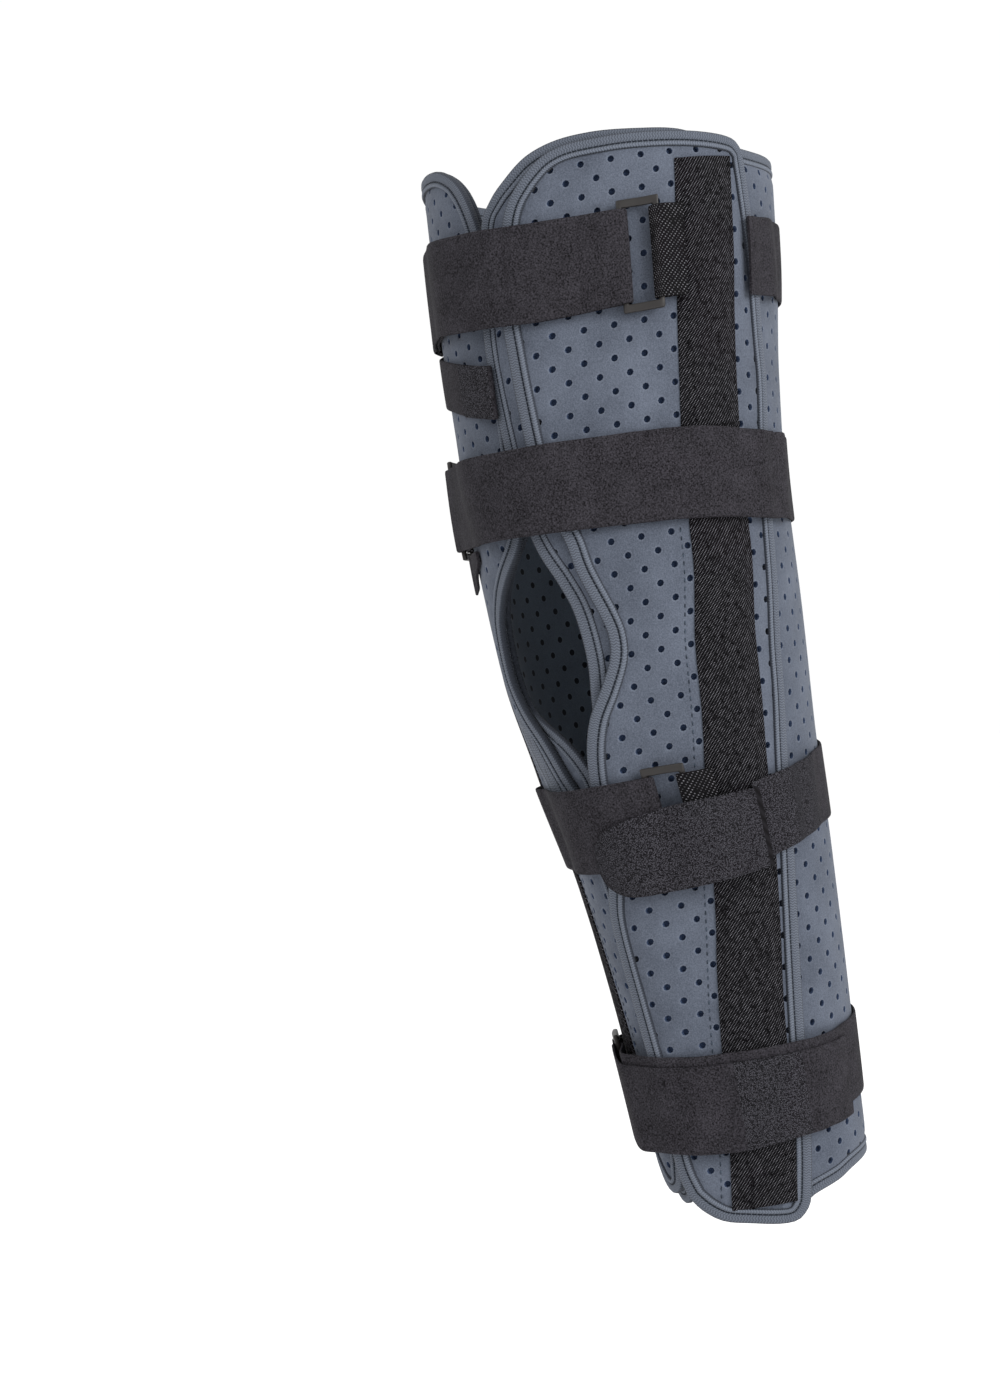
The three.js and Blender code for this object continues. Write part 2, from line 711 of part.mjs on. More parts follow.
// The strap below the knee is sewn round its ring's bar and goes once round the leg
function wrappedStrap(name, rows, run) {
  const over = sweep(run.fold, run.end, ROUND_STEP).map((angle) => {
    const settled = ease((distance(rows, run.fold, angle) - RING_BAR) / SETTLE);
    const pastEnd = angle < run.start ? ease((distance(rows, run.start, angle) - FIT) / SETTLE) : 0;
    const rise = mix(mix(OVER_BAR, OVER_STRAP, settled), UNDER, pastEnd);
    return { angle, rise, ...bandEdges(rows, angle) };
  });
  const path = [
    ...flatRun(rows, run.start, run.fold, UNDER),
    ...foldSteps(rows, run.fold, 1, UNDER, FOLD_RADIUS),
    ...over,
  ];
  ribbon(name, path, STRAP_THICKNESS, STRAP_CLOTH, strapSeat);
}

// A plastic ring and the webbing that holds it. The strap goes round the ring's near bar and the
// webbing round its far one.
function ringAndWebbing(name, rows, fold, direction) {
  const edges = bandEdges(rows, fold);
  const middle = (edges.top + edges.bottom) / 2;
  const round = degrees(1 / (radiusAt(middle) + PANEL_SEAT));
  const bandHalf = (edges.top - edges.bottom) / 2;
  const inX = RING_WIDTH / 2 - RING_BAR;
  const inY = bandHalf + RING_PLAY;
  const outer = new THREE.Shape([
    new THREE.Vector2(-RING_WIDTH / 2, -inY - RING_END),
    new THREE.Vector2(RING_WIDTH / 2, -inY - RING_END),
    new THREE.Vector2(RING_WIDTH / 2, inY + RING_END),
    new THREE.Vector2(-RING_WIDTH / 2, inY + RING_END),
  ]);
  outer.holes.push(new THREE.Path([
    new THREE.Vector2(-inX, -inY),
    new THREE.Vector2(-inX, inY),
    new THREE.Vector2(inX, inY),
    new THREE.Vector2(inX, -inY),
  ]));
  const nearBar = RING_WIDTH / 2 - RING_BAR / 2 - BAR_BACK;
  const centre = fold + direction * nearBar * round;
  const plate = new THREE.ExtrudeGeometry(outer, { depth: RING_BAR, bevelEnabled: false });
  bend(`${name}_ring`, plate, RING_PLASTIC, (point) => {
    const z = middle + point.y;
    const angle = centre + point.x * round;
    return onLeg(angle, z, strapSeat(angle, z) + BAR_BASE + point.z);
  });
  const farFold = fold + direction * 2 * nearBar * round;
  const end = farFold + direction * WEBBING_LENGTH * round;
  const level = levelOf(middle);
  const width = (2 * bandHalf - RING_PLAY) / STRAP_WIDTH;
  const band = [farFold, end].sort((a, b) => a - b).map((angle) => ({ angle, level, width }));
  const shape = (angle, rise) => ({ angle, rise, ...bandEdges(band, angle) });
  const over = [0.25, 0.5, 0.75, 1].map((share) => (
    shape(mix(farFold, end, share), mix(WEB_OVER_BAR, WEB_OVER, ease(share)))
  ));
  const path = [
    shape(end, WEB_UNDER),
    shape(mix(end, farFold, 0.5), WEB_UNDER),
    shape(farFold, WEB_UNDER),
    ...foldSteps(band, farFold, -direction, WEB_UNDER, WEB_FOLD_RADIUS),
    shape(farFold, WEB_OVER_BAR),
    ...over,
  ];
  ribbon(`${name}_ring_webbing`, path, WEBBING_THICKNESS, WEBBING_CLOTH, strapSeat);
}

// The tab over the ring below the knee, sewn on the strap's end at its seam
function hookTab(name) {
  const seam = HOOK_TAB[HOOK_TAB.length - 1].angle;
  const ringEnd = BELOW_KNEE_RUN.fold + degrees(RING_WIDTH / radiusAt(heightOf(HOOK_TAB[1].level)));
  const path = sweep(HOOK_TAB[0].angle, seam, TAB_STEP).map((angle) => {
    const up = ease((angle - BELOW_KNEE_RUN.start) / (BELOW_KNEE_RUN.fold - TAB_EARLY - BELOW_KNEE_RUN.start));
    const down = ease((angle - ringEnd) / (seam - TAB_FLAT - ringEnd));
    const rise = mix(mix(TAB_OVER_STRAP, TAB_OVER_BAR, up), OVER_STRAP, down);
    return { angle, rise, ...bandEdges(HOOK_TAB, angle) };
  });
  ribbon(name, path, STRAP_THICKNESS, STRAP_CLOTH, strapSeat);
}

// The short tab across the front edges, folded over at its end
function closingTab(name) {
  const seat = (angle) => mix(PANEL_SEAT, OVERLAP_LIFT + FOAM + FIT, ease((angle + LIFT_RUN) / TAB_CLIMB_RUN));
  const radius = (OVER_STRAP - UNDER) / 2;
  const path = [
    ...flatRun(CLOSING_TAB, CLOSING_RUN.start, CLOSING_RUN.fold, UNDER),
    ...foldSteps(CLOSING_TAB, CLOSING_RUN.fold, 1, UNDER, radius),
    ...flatRun(CLOSING_TAB, CLOSING_RUN.fold, CLOSING_RUN.end, OVER_STRAP),
  ];
  ribbon(name, path, STRAP_THICKNESS, STRAP_CLOTH, seat);
}

// The tail below the strap above the knee, narrowing to its lower end
function strapTail(name) {
  const path = sweep(TAIL.left, TAIL.right, ROUND_STEP).map((angle) => {
    const share = (TAIL.narrowing * (angle - TAIL.left)) / (TAIL.right - TAIL.left);
    const bottom = heightOf(mix(TAIL.bottom, TAIL.top, share));
    return { angle, rise: UNDER, top: heightOf(TAIL.top), bottom };
  });
  ribbon(name, path, STRAP_THICKNESS, STRAP_CLOTH, strapSeat);
}

// A stay pocket sewn down a side panel; side is 1 for the outer panel and -1 for the inner one
function stayPocket(name, ends, side) {
  const slab = new THREE.BoxGeometry(1, 1, 1, POCKET_STEPS.across, POCKET_STEPS.upright, 1);
  bend(name, slab, POCKET_CLOTH, (point) => {
    const level = mix(ends.bottom, ends.top, point.y + 0.5);
    const z = heightOf(level);
    const across = degrees((point.x * POCKET_WIDTH) / (radiusAt(z) + PANEL_OUT));
    const angle = side * (read(POCKET_LINE, 'level', 'angle', level) + across);
    const lift = side > 0 ? overlapLift(angle, z) : 0;
    return onLeg(angle, z, PANEL_SEAT + POCKET_THICKNESS * (point.z + 0.5) + lift);
  });
}

const flat = () => 0;
foamPiece('body_wrap', WRAP_EDGES, WRAP_STEPS, 0, TAPE_PRESSED, overlapLift);
foamPiece('lateral_panel', LATERAL_EDGES, PANEL_STEPS, PANEL_IN, TAPE_PROUD, overlapLift);
foamPiece('medial_panel', MEDIAL_EDGES, PANEL_STEPS, PANEL_IN, TAPE_PROUD, flat);
stayPocket('lateral_stay_pocket', LATERAL_POCKET, 1);
stayPocket('medial_stay_pocket', MEDIAL_POCKET, -1);
foldedStrap('top_strap', TOP_STRAP, TOP_RUN, 0);
foldedStrap('above_knee_strap', ABOVE_KNEE_STRAP, ABOVE_KNEE_RUN, 0);
wrappedStrap('below_knee_strap', BELOW_KNEE_STRAP, BELOW_KNEE_RUN);
foldedStrap('bottom_strap', BOTTOM_STRAP, BOTTOM_RUN, BOTTOM_SHIFT);
ringAndWebbing('top', TOP_STRAP, TOP_RUN.fold, 1);
ringAndWebbing('above_knee', ABOVE_KNEE_STRAP, ABOVE_KNEE_RUN.fold, -1);
ringAndWebbing('below_knee', BELOW_KNEE_STRAP, BELOW_KNEE_RUN.fold, 1);
ringAndWebbing('bottom', BOTTOM_STRAP, BOTTOM_RUN.fold, -1);
hookTab('below_knee_hook_tab');
closingTab('closing_tab');
strapTail('above_knee_tail');

export default group;
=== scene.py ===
"""Dresses the knee immobilizer: foam panels, edge tapes, stay pockets, straps and rings.

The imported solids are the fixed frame. Lengths in the tables are millimetres on the leg, angles are degrees
round it from the front, positive to the outer side, and every mesh is made in metres.
"""

from __future__ import annotations

import logging
import math
from bisect import bisect_right
from dataclasses import dataclass, field, replace
from enum import Enum
from functools import lru_cache
from typing import Callable, Iterable, Sequence

import bmesh
import bpy
from mathutils import Matrix, Vector, noise
from mathutils.kdtree import KDTree

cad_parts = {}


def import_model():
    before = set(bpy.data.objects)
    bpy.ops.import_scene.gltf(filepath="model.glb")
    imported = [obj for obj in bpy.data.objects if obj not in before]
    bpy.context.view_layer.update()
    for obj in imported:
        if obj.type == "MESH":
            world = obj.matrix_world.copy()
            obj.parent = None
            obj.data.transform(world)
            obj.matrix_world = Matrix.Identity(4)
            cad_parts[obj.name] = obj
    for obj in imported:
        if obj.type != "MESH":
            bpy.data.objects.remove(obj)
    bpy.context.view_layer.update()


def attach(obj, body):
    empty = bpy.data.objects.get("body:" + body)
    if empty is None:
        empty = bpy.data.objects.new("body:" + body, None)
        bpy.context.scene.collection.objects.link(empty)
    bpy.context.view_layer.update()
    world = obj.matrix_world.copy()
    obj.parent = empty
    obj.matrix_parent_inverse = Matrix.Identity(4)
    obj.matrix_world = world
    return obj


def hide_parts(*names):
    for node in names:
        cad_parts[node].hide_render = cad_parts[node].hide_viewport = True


log = logging.getLogger("knee_immobilizer")

MM = 0.001

# Points of a closed piece that are nearer than this are one point
MERGE = 0.01

# Lengths along the leg and the size of its hollow
THIGH_LENGTH = 265.0
CALF_LENGTH = 307.0
THIGH_WIDTH = 176.0
THIGH_DEPTH = 176.0
ANKLE_WIDTH = 92.0
ANKLE_DEPTH = 104.0
KNEE_FORWARD = 14.0
KNEE_INWARD = 6.0

# Layers over the leg
FOAM = 4.0
FIT = 0.5
TAPE_WIDTH = 8.0
TAPE_PROUD = 0.4
LIFT_RUN = 32.0
CLIMB_RUN = LIFT_RUN - 6
TAB_RUN = LIFT_RUN - 4
STRAP_SLACK = 0.8
PANEL_IN = FOAM + FIT
PANEL_OUT = PANEL_IN + FOAM
PANEL_SEAT = PANEL_OUT + TAPE_PROUD + FIT
WRAP_SEAT = FOAM + FIT
OVERLAP_LIFT = PANEL_SEAT

# Pockets, straps, rings and webbing
POCKET_WIDTH = 34.0
POCKET_THICKNESS = 1.8
POCKET_RISE = POCKET_THICKNESS + FIT
STRAP_WIDTH = 50.0
STRAP_THICKNESS = 1.6
RING_BAR = 2.6
RING_WIDTH = 20.0
RING_END = 4.2
RING_PLAY = 0.6
BAR_BACK = 0.5
WEBBING_THICKNESS = 1.2
WEBBING_LENGTH = 14.0
SETTLE = 22.0

# The stitches beside a pocket: over its lower end, up to a level, beside its edge, and how far apart
STITCH_START = 4.0
STITCH_TOP = 0.2
STITCH_GAP = 5.0
STITCH_PITCH = 4.2
STITCH_RISE = 0.1
STITCH_SIZE = (0.4, 1.35, 0.32)

# Heights of a band's middle over its seat
UNDER = STRAP_THICKNESS / 2
BAR_BASE = STRAP_THICKNESS + FIT
OVER_BAR = BAR_BASE + RING_BAR + FIT + STRAP_THICKNESS / 2
OVER_STRAP = UNDER + STRAP_THICKNESS + FIT
FOLD_RADIUS = (OVER_BAR - UNDER) / 2
WEB_UNDER = BAR_BASE - FIT - WEBBING_THICKNESS / 2
WEB_OVER_BAR = BAR_BASE + RING_BAR + FIT + WEBBING_THICKNESS / 2
WEB_OVER = WEB_UNDER + WEBBING_THICKNESS + FIT
WEB_FOLD_RADIUS = (WEB_OVER_BAR - WEB_UNDER) / 2
TAB_OVER_STRAP = OVER_STRAP + STRAP_THICKNESS + FIT
TAB_OVER_BAR = OVER_BAR + STRAP_THICKNESS + FIT

# The pierced lattice: every other cell of a grid has a hole
CELL_ROUND = 7.65
CELL_UP = 8.15
HOLE_RADIUS = 1.75

# The ribbed bands beside the kneecap's opening, which grow from nothing at their upper end
RIM_WIDTH = 30.0
RIM_LOW = -112.0
RIM_HIGH = -12.0
RIM_TIP = -8.0
RIM_GROWTH = 36.0

# The places round the leg where the straps fold over their rings
TOP_FOLD = 405.6
ABOVE_KNEE_FOLD = -54.0
BELOW_KNEE_FOLD = 27.2
BOTTOM_FOLD = -38.0

# Where holes are left out: under the side panels, at the wrap's inner front end, and under a pocket
COVERED_RIM = 3.0
COVERED_END = 345.0
POCKET_RIM = 1.5
POCKET_TOP = 0.905

Rows = tuple[tuple[float, ...], ...]
Place = tuple[float, float]

# Level, then width and depth from 0 at the ankle's size to 1 at the thigh's, then the two shifts
SECTIONS: Rows = (
    (-1.01, 0, 0, 0, 0),
    (-0.814, 0.083, 0.069, 0, 0.03),
    (-0.619, 0.19, 0.167, 0.08, 0.09),
    (-0.407, 0.333, 0.306, 0.25, 0.29),
    (-0.195, 0.524, 0.5, 0.67, 0.71),
    (0, 0.714, 0.667, 1, 0.96),
    (0.245, 0.786, 0.75, 1, 1),
    (0.49, 0.857, 0.833, 0.75, 0.75),
    (0.717, 0.952, 0.944, 0.33, 0.39),
    (0.943, 1, 1, 0, 0),
)


@dataclass(frozen=True)
class Edges:
    """The four edges of a foam piece, each as rows of level and angle."""

    front: Rows
    top: Rows
    rear: Rows
    bottom: Rows


WRAP_EDGES = Edges(
    front=(
        (-0.922, 3), (-0.886, 0), (-0.814, -1), (-0.603, -3.5), (-0.459, -3.4), (-0.375, 1.5), (-0.277, 6.5),
        (-0.179, 10), (-0.075, 14.1), (-0.01, 16), (0.078, 15), (0.139, 11.8), (0.23, 5.6), (0.396, 0.5),
        (0.581, -2.4), (0.7, -1.5), (0.838, 1.6), (0.883, 6), (0.913, 11.2),
    ),
    top=(
        (0.913, 11.2), (0.947, 18.3), (0.966, 27.7), (0.97, 39), (0.963, 54), (0.954, 68), (0.929, 82),
        (0.915, 104), (0.928, 150), (0.962, 200), (0.985, 260), (1, 305), (1.003, 322), (0.99, 336),
        (0.965, 344.5), (0.933, 350),
    ),
    rear=(
        (-0.925, 353.5), (-0.886, 356), (-0.814, 357.5), (-0.65, 358), (-0.459, 358), (-0.326, 359.5),
        (-0.228, 361), (-0.183, 358.3), (-0.134, 350.2), (-0.074, 333), (-0.016, 328), (0.072, 330),
        (0.131, 336), (0.17, 343), (0.226, 354.3), (0.272, 361), (0.377, 364), (0.566, 364), (0.755, 362),
        (0.838, 357), (0.898, 353.4), (0.933, 350),
    ),
    bottom=(
        (-0.922, 3), (-0.948, 8), (-0.97, 17), (-0.982, 32), (-0.986, 48), (-0.975, 60), (-0.964, 68),
        (-0.954, 85), (-0.941, 108), (-0.935, 180), (-0.896, 240), (-0.862, 285), (-0.872, 304), (-0.9, 318),
        (-0.937, 327), (-0.96, 337), (-0.955, 346.5), (-0.925, 353.5),
    ),
)

LATERAL_EDGES = Edges(
    front=(
        (-0.93, 0.9), (-0.886, -2.4), (-0.814, -3.5), (-0.603, -6), (-0.459, -5.9), (-0.375, -0.6),
        (-0.277, 4), (-0.179, 7.7), (-0.112, 12.7), (-0.059, 19.7), (-0.016, 24.4), (0.019, 25.5),
        (0.058, 24.5), (0.151, 19.7), (0.219, 17.7), (0.302, 13), (0.404, 10.5), (0.574, 8.5), (0.7, 8),
        (0.842, 11.8), (0.902, 17.5),
    ),
    top=(
        (0.902, 17.5), (0.935, 23.5), (0.951, 31), (0.953, 42), (0.951, 53), (0.942, 73), (0.929, 86),
        (0.906, 90.5),
    ),
    rear=(
        (-0.975, 61), (-0.94, 63.4), (-0.847, 67.2), (-0.629, 72.6), (-0.463, 77.5), (-0.163, 87.5),
        (-0.033, 90), (0.117, 93.5), (0.426, 98.6), (0.562, 97.5), (0.826, 92.5), (0.906, 90.5),
    ),
    bottom=(
        (-0.93, 0.9), (-0.957, 7), (-0.98, 16.5), (-0.991, 32), (-0.998, 47), (-0.994, 55), (-0.975, 61),
    ),
)

MEDIAL_EDGES = Edges(
    front=(
        (-0.902, 351.2), (-0.87, 353.4), (-0.814, 354.5), (-0.603, 355), (-0.326, 355), (-0.241, 353),
        (-0.195, 348.7), (-0.13, 342.7), (-0.074, 335), (-0.016, 331), (0.072, 333), (0.131, 339.9),
        (0.17, 346.5), (0.223, 356.3), (0.272, 360), (0.377, 361.5), (0.566, 361.5), (0.755, 360),
        (0.838, 358), (0.894, 355), (0.93, 352),
    ),
    top=(
        (0.93, 352), (0.964, 347), (0.992, 338), (1.003, 324), (1, 305), (0.985, 284), (0.95, 271),
        (0.915, 267.5),
    ),
    rear=(
        (-0.815, 297), (-0.78, 294.4), (-0.629, 287.4), (-0.463, 282.5), (-0.163, 272.5), (-0.033, 270),
        (0.117, 266.5), (0.426, 261.4), (0.562, 262.5), (0.826, 266.5), (0.915, 267.5),
    ),
    bottom=(
        (-0.902, 351.2), (-0.927, 348), (-0.939, 341.5), (-0.938, 335), (-0.924, 328), (-0.899, 320),
        (-0.873, 311), (-0.846, 302.5), (-0.815, 297),
    ),
)

# Level and angle: where the wrap's two ends overlap, the ridge the straps climb, and the pockets' line
OVERLAP_EDGE: Rows = ((-1, -2), (-0.45, 0), (-0.2, 4), (0.2, 5), (1, 6))
FRONT_RIDGE: Rows = ((-1, -6), (-0.45, -7), (-0.3, 0), (0.25, 2), (0.4, -2), (1, -3))
POCKET_LINE: Rows = (
    (-0.967, 37.2), (-0.866, 40.7), (-0.612, 47.5), (-0.463, 53.3), (-0.212, 61.6), (-0.114, 64.3),
    (-0.016, 65.7), (0.151, 69.6), (0.434, 71.3), (0.566, 72), (0.902, 74),
)

# Angle, level of the middle, and width as a share of STRAP_WIDTH
TOP_STRAP: Rows = (
    (88, 0.7, 0.79), (180, 0.725, 0.85), (270, 0.758, 0.96), (326, 0.762, 0.98), (360, 0.736, 0.98),
    (382, 0.72, 0.98), (407, 0.718, 0.92),
)
ABOVE_KNEE_STRAP: Rows = (
    (-60, 0.34, 0.9), (-30, 0.334, 0.9), (0, 0.324, 0.88), (35, 0.312, 0.9), (62, 0.302, 0.91),
    (97, 0.281, 0.89), (180, 0.283, 0.89), (260, 0.31, 0.89),
)
BELOW_KNEE_STRAP: Rows = (
    (-300, -0.322, 0.8), (-252, -0.288, 0.76), (-180, -0.272, 0.86), (-90, -0.284, 0.9), (-30, -0.289, 0.9),
    (0, -0.292, 0.9), (31, -0.29, 0.9),
)
BOTTOM_STRAP: Rows = (
    (-60, -0.747, 0.94), (-5, -0.759, 0.92), (29, -0.769, 0.93), (60, -0.766, 0.87), (89, -0.765, 0.84),
    (180, -0.748, 0.86), (260, -0.74, 0.9),
)
HOOK_TAB: Rows = ((2, -0.354, 0.66), (18, -0.346, 0.8), (36, -0.337, 0.86), (66, -0.331, 0.82))
CLOSING_TAB: Rows = ((-64, 0.62, 0.54), (-33, 0.577, 0.54), (2, 0.52, 0.55))

# The tape's section: distance in from the edge, and height over the foam's inner face
TAPE_SECTION: tuple[Place, ...] = (
    (7.7, -0.15), (8.0, 2.6), (8.15, 3.3), (8.0, 3.9), (7.7, 4.4), (7.2, 4.75), (6.6, 4.85), (6.0, 4.7),
    (5.6, 4.3), (5.3, 3.75), (5.05, 3.7), (4.7, 4.1), (3.9, 4.35), (2.4, 4.42), (1.1, 4.2), (0.3, 3.5),
    (0.0, 2.4), (0.1, 1.2), (0.5, 0.3), (1.2, -0.15),
)

# The stay pocket's section: share of half its width, and height over the foam's outer face
POCKET_SECTION: tuple[Place, ...] = (
    (-1.0, 0.0), (-1.0, 0.75), (-0.98, 1.0), (-0.93, 1.12), (-0.88, 1.02), (-0.82, 1.3), (-0.72, 2.0),
    (-0.58, 2.5), (-0.3, 2.68), (0.0, 2.7), (0.3, 2.68), (0.58, 2.5), (0.72, 2.0), (0.82, 1.3), (0.88, 1.02),
    (0.93, 1.12), (0.98, 1.0), (1.0, 0.75), (1.0, 0.0),
)


class Side(Enum):
    """The two sides of the leg."""

    LATERAL = 1
    MEDIAL = -1


class Held(Enum):
    """How a piece of cloth is held."""

    STRETCHED = "stretched"
    FOLDED = "folded"
    LAID = "laid"


class Slot(Enum):
    """Names for the pieces' materials, passed along with them but not read."""

    FOAM = "foam_cloth"
    TAPE = "edge_tape"
    POCKET = "pocket_twill"
    STRAP = "strap_cloth"
    RING = "ring_plastic"
    WEBBING = "mesh_webbing"


def ease(x: float) -> float:
    """A smooth step from 0 to 1."""
    x = min(max(x, 0.0), 1.0)
    return x * x * (3 - 2 * x)


def mix(a: float, b: float, share: float) -> float:
    """The value at a share of the way from a to b."""
    return a + (b - a) * share


def height_of(level: float) -> float:
    """The height in millimetres of a level."""
    return level * (THIGH_LENGTH if level > 0 else CALF_LENGTH)


def level_of(z: float) -> float:
    """The level of a height in millimetres."""
    return z / (THIGH_LENGTH if z > 0 else CALF_LENGTH)


def sweep(start: float, end: float, step: float) -> list[float]:
    """Angles from one place to another in even steps.

    Args:
        start: The first angle.
        end: The last angle.
        step: About how far apart they are.

    Returns:
        The angles, both ends among them.
    """
    count = max(1, round(abs(end - start) / step))
    return [mix(start, end, i / count) for i in range(count + 1)]


class Column:
    """A value read smoothly off a table, without overshoot between its rows."""

    def __init__(self, places: Sequence[float], values: Sequence[float]) -> None:
        """Works out the slope at each row.

        Args:
            places: Where the rows stand, rising.
            values: The value at each row.
        """
        self.places = list(places)
        self.values = list(values)
        slopes = [
            (values[k + 1] - values[k]) / (places[k + 1] - places[k]) for k in range(len(places) - 1)
        ]
        inner = [
            0.0 if a * b <= 0 else 2 * a * b / (a + b) for a, b in zip(slopes, slopes[1:])
        ]
        self.slopes = [slopes[0], *inner, slopes[-1]]

    def at(self, place: float) -> float:
        """The value at a place."""
        if place <= self.places[0]:
            return self.values[0]
        if place >= self.places[-1]:
            return self.values[-1]
        i = bisect_right(self.places, place) - 1
        run = self.places[i + 1] - self.places[i]
        t = (place - self.places[i]) / run
        a, b = self.values[i], self.values[i + 1]
        bow = run * t * (1 - t) * ((1 - t) * self.slopes[i] - t * self.slopes[i + 1])
        return a + (b - a) * t * t * (3 - 2 * t) + bow


def column(rows: Rows, key: int, value: int) -> Column:
    """One column of a table, read by another."""
    return Column([row[key] for row in rows], [row[value] for row in rows])


class Leg:
    """The hollow that the part is worn on, and the layers that lie over it."""

    def __init__(self) -> None:
        """Reads the tables of the hollow's form."""
        self._shape = [column(SECTIONS, 0, k) for k in range(1, 5)]
        self._overlap = column(OVERLAP_EDGE, 0, 1)
        self._ridge = column(FRONT_RIDGE, 0, 1)
        self._rear = column(LATERAL_EDGES.rear, 0, 1)
        self.pocket = column(POCKET_LINE, 0, 1)

    @lru_cache(maxsize=None)
    def section(self, z: float) -> tuple[float, float, float, float]:
        """Half width, half depth and the middle's place at a height."""
        width, depth, inward, forward = (shape.at(level_of(z)) for shape in self._shape)
        return (
            mix(ANKLE_WIDTH, THIGH_WIDTH, width) / 2,
            mix(ANKLE_DEPTH, THIGH_DEPTH, depth) / 2,
            -KNEE_INWARD * inward,
            -KNEE_FORWARD * forward,
        )

    def radius(self, z: float) -> float:
        """The mean radius of the hollow at a height."""
        width, depth, _, _ = self.section(round(z, 2))
        return (width + depth) / 2

    def point(self, angle: float, z: float, offset: float) -> Vector:
        """A point in metres from an angle, a height and an offset over the leg."""
        width, depth, x, y = self.section(round(z, 2))
        turn = math.radians(angle)
        across = x + (width + offset) * math.sin(turn)
        along = y - (depth + offset) * math.cos(turn)
        return Vector((across, along, z)) * MM

    def overlap_lift(self, angle: float, z: float) -> float:
        """How far the outer front end is lifted by the inner one."""
        edge = self._overlap.at(level_of(z))
        return OVERLAP_LIFT * (1 - ease((angle - edge) / LIFT_RUN))

    def strap_seat(self, angle: float, z: float) -> float:
        """The height of the layers that a strap lies on."""
        turn = (angle + 180) % 360 - 180
        level = level_of(z)
        ridge = self._ridge.at(level)
        step = math.degrees(1 / self.radius(z))
        side = abs(turn)
        on_panel = 1 - ease((side - self._rear.at(level) - TAPE_WIDTH * step) / (SETTLE * step))
        past = abs(side - self.pocket.at(level)) / step - POCKET_WIDTH / 2 - TAPE_WIDTH
        on_pocket = 1 - ease(past / TAPE_WIDTH)
        climb = ease((turn - ridge + LIFT_RUN) / CLIMB_RUN)
        lift = self.overlap_lift(turn, z) if turn > ridge else OVERLAP_LIFT * climb
        slack = STRAP_SLACK * lift / OVERLAP_LIFT
        return mix(WRAP_SEAT, PANEL_SEAT, on_panel) + POCKET_RISE * on_pocket + lift + slack


LEG = Leg()


# The kinds of node that the patterns use most
MATH = "ShaderNodeMath"
NOISE = "ShaderNodeTexNoise"
RANGE = "ShaderNodeMapRange"


def linear(colour: str) -> tuple[float, float, float, float]:
    """A sRGB hex colour as the linear values that a shader takes.

    Args:
        colour: Six hex digits.

    Returns:
        Red, green, blue and alpha.
    """
    parts = [int(colour[i : i + 2], 16) / 255 for i in (0, 2, 4)]
    lit = [c / 12.92 if c <= 0.04045 else ((c + 0.055) / 1.055) ** 2.4 for c in parts]
    return (*lit, 1.0)


def add(
    tree: bpy.types.NodeTree, kind: str, inputs: dict[str | int, object] | None = None, **settings: object
) -> bpy.types.Node:
    """Adds a node with its settings and links.

    Args:
        tree: The tree it goes in.
        kind: The node's type.
        inputs: What each input takes: a node, for its first output, a socket to link, or a value.
        settings: The node's own settings.

    Returns:
        The node.
    """
    node = tree.nodes.new(kind)
    for name, value in settings.items():
        setattr(node, name, value)
    for key, value in (inputs or {}).items():
        source = value.outputs[0] if isinstance(value, bpy.types.Node) else value
        if isinstance(source, bpy.types.NodeSocket):
            tree.links.new(source, node.inputs[key])
        else:
            node.inputs[key].default_value = source
    return node


@dataclass(frozen=True)
class Pattern:
    """What a finish draws: the share of its light colour, its relief, and where its spot colour shows."""

    share: bpy.types.Node | bpy.types.NodeSocket
    relief: bpy.types.Node | bpy.types.NodeSocket
    spots: bpy.types.Node | None = None


@dataclass(frozen=True)
class Finish:
    """A material, named for what the real one is."""

    name: str
    colour: str
    roughness: float
    sheen: float = 0.0
    specular: float = 0.2
    dark: str = ""
    light: str = "ffffff"
    spot: str = "000000"
    relief: float = 0.5
    relief_mm: float = 0.1
    sunk: bool = False

    def material(self) -> bpy.types.Material:
        """The material, made once.

        Returns:
            The material, with its pattern's colours and relief on one shader.
        """
        made = bpy.data.materials.get(self.name)
        if made is not None:
            return made
        made = bpy.data.materials.new(self.name)
        made.use_nodes = True
        made.diffuse_color = linear(self.colour)
        tree = made.node_tree
        tree.nodes.clear()
        pattern = self.pattern(tree)
        dark = linear(self.dark or self.colour)
        tone = {0: pattern.share, 6: dark, 7: linear(self.light)}
        colour = add(tree, "ShaderNodeMix", tone, data_type="RGBA").outputs[2]
        if pattern.spots is not None:
            tone = {0: pattern.spots, 6: colour, 7: linear(self.spot)}
            colour = add(tree, "ShaderNodeMix", tone, data_type="RGBA").outputs[2]
        height = {"Strength": self.relief, "Distance": self.relief_mm * MM, "Height": pattern.relief}
        shader = add(
            tree,
            "ShaderNodeBsdfPrincipled",
            {
                "Base Color": colour,
                "Normal": add(tree, "ShaderNodeBump", height, invert=self.sunk),
                "Roughness": self.roughness,
                "Specular IOR Level": self.specular,
                "Sheen Weight": self.sheen,
                "Sheen Roughness": 0.5,
            },
        )
        add(tree, "ShaderNodeOutputMaterial", {"Surface": shader})
        return made

    def pattern(self, tree: bpy.types.NodeTree) -> Pattern:
        """The finish's own pattern."""
        raise NotImplementedError


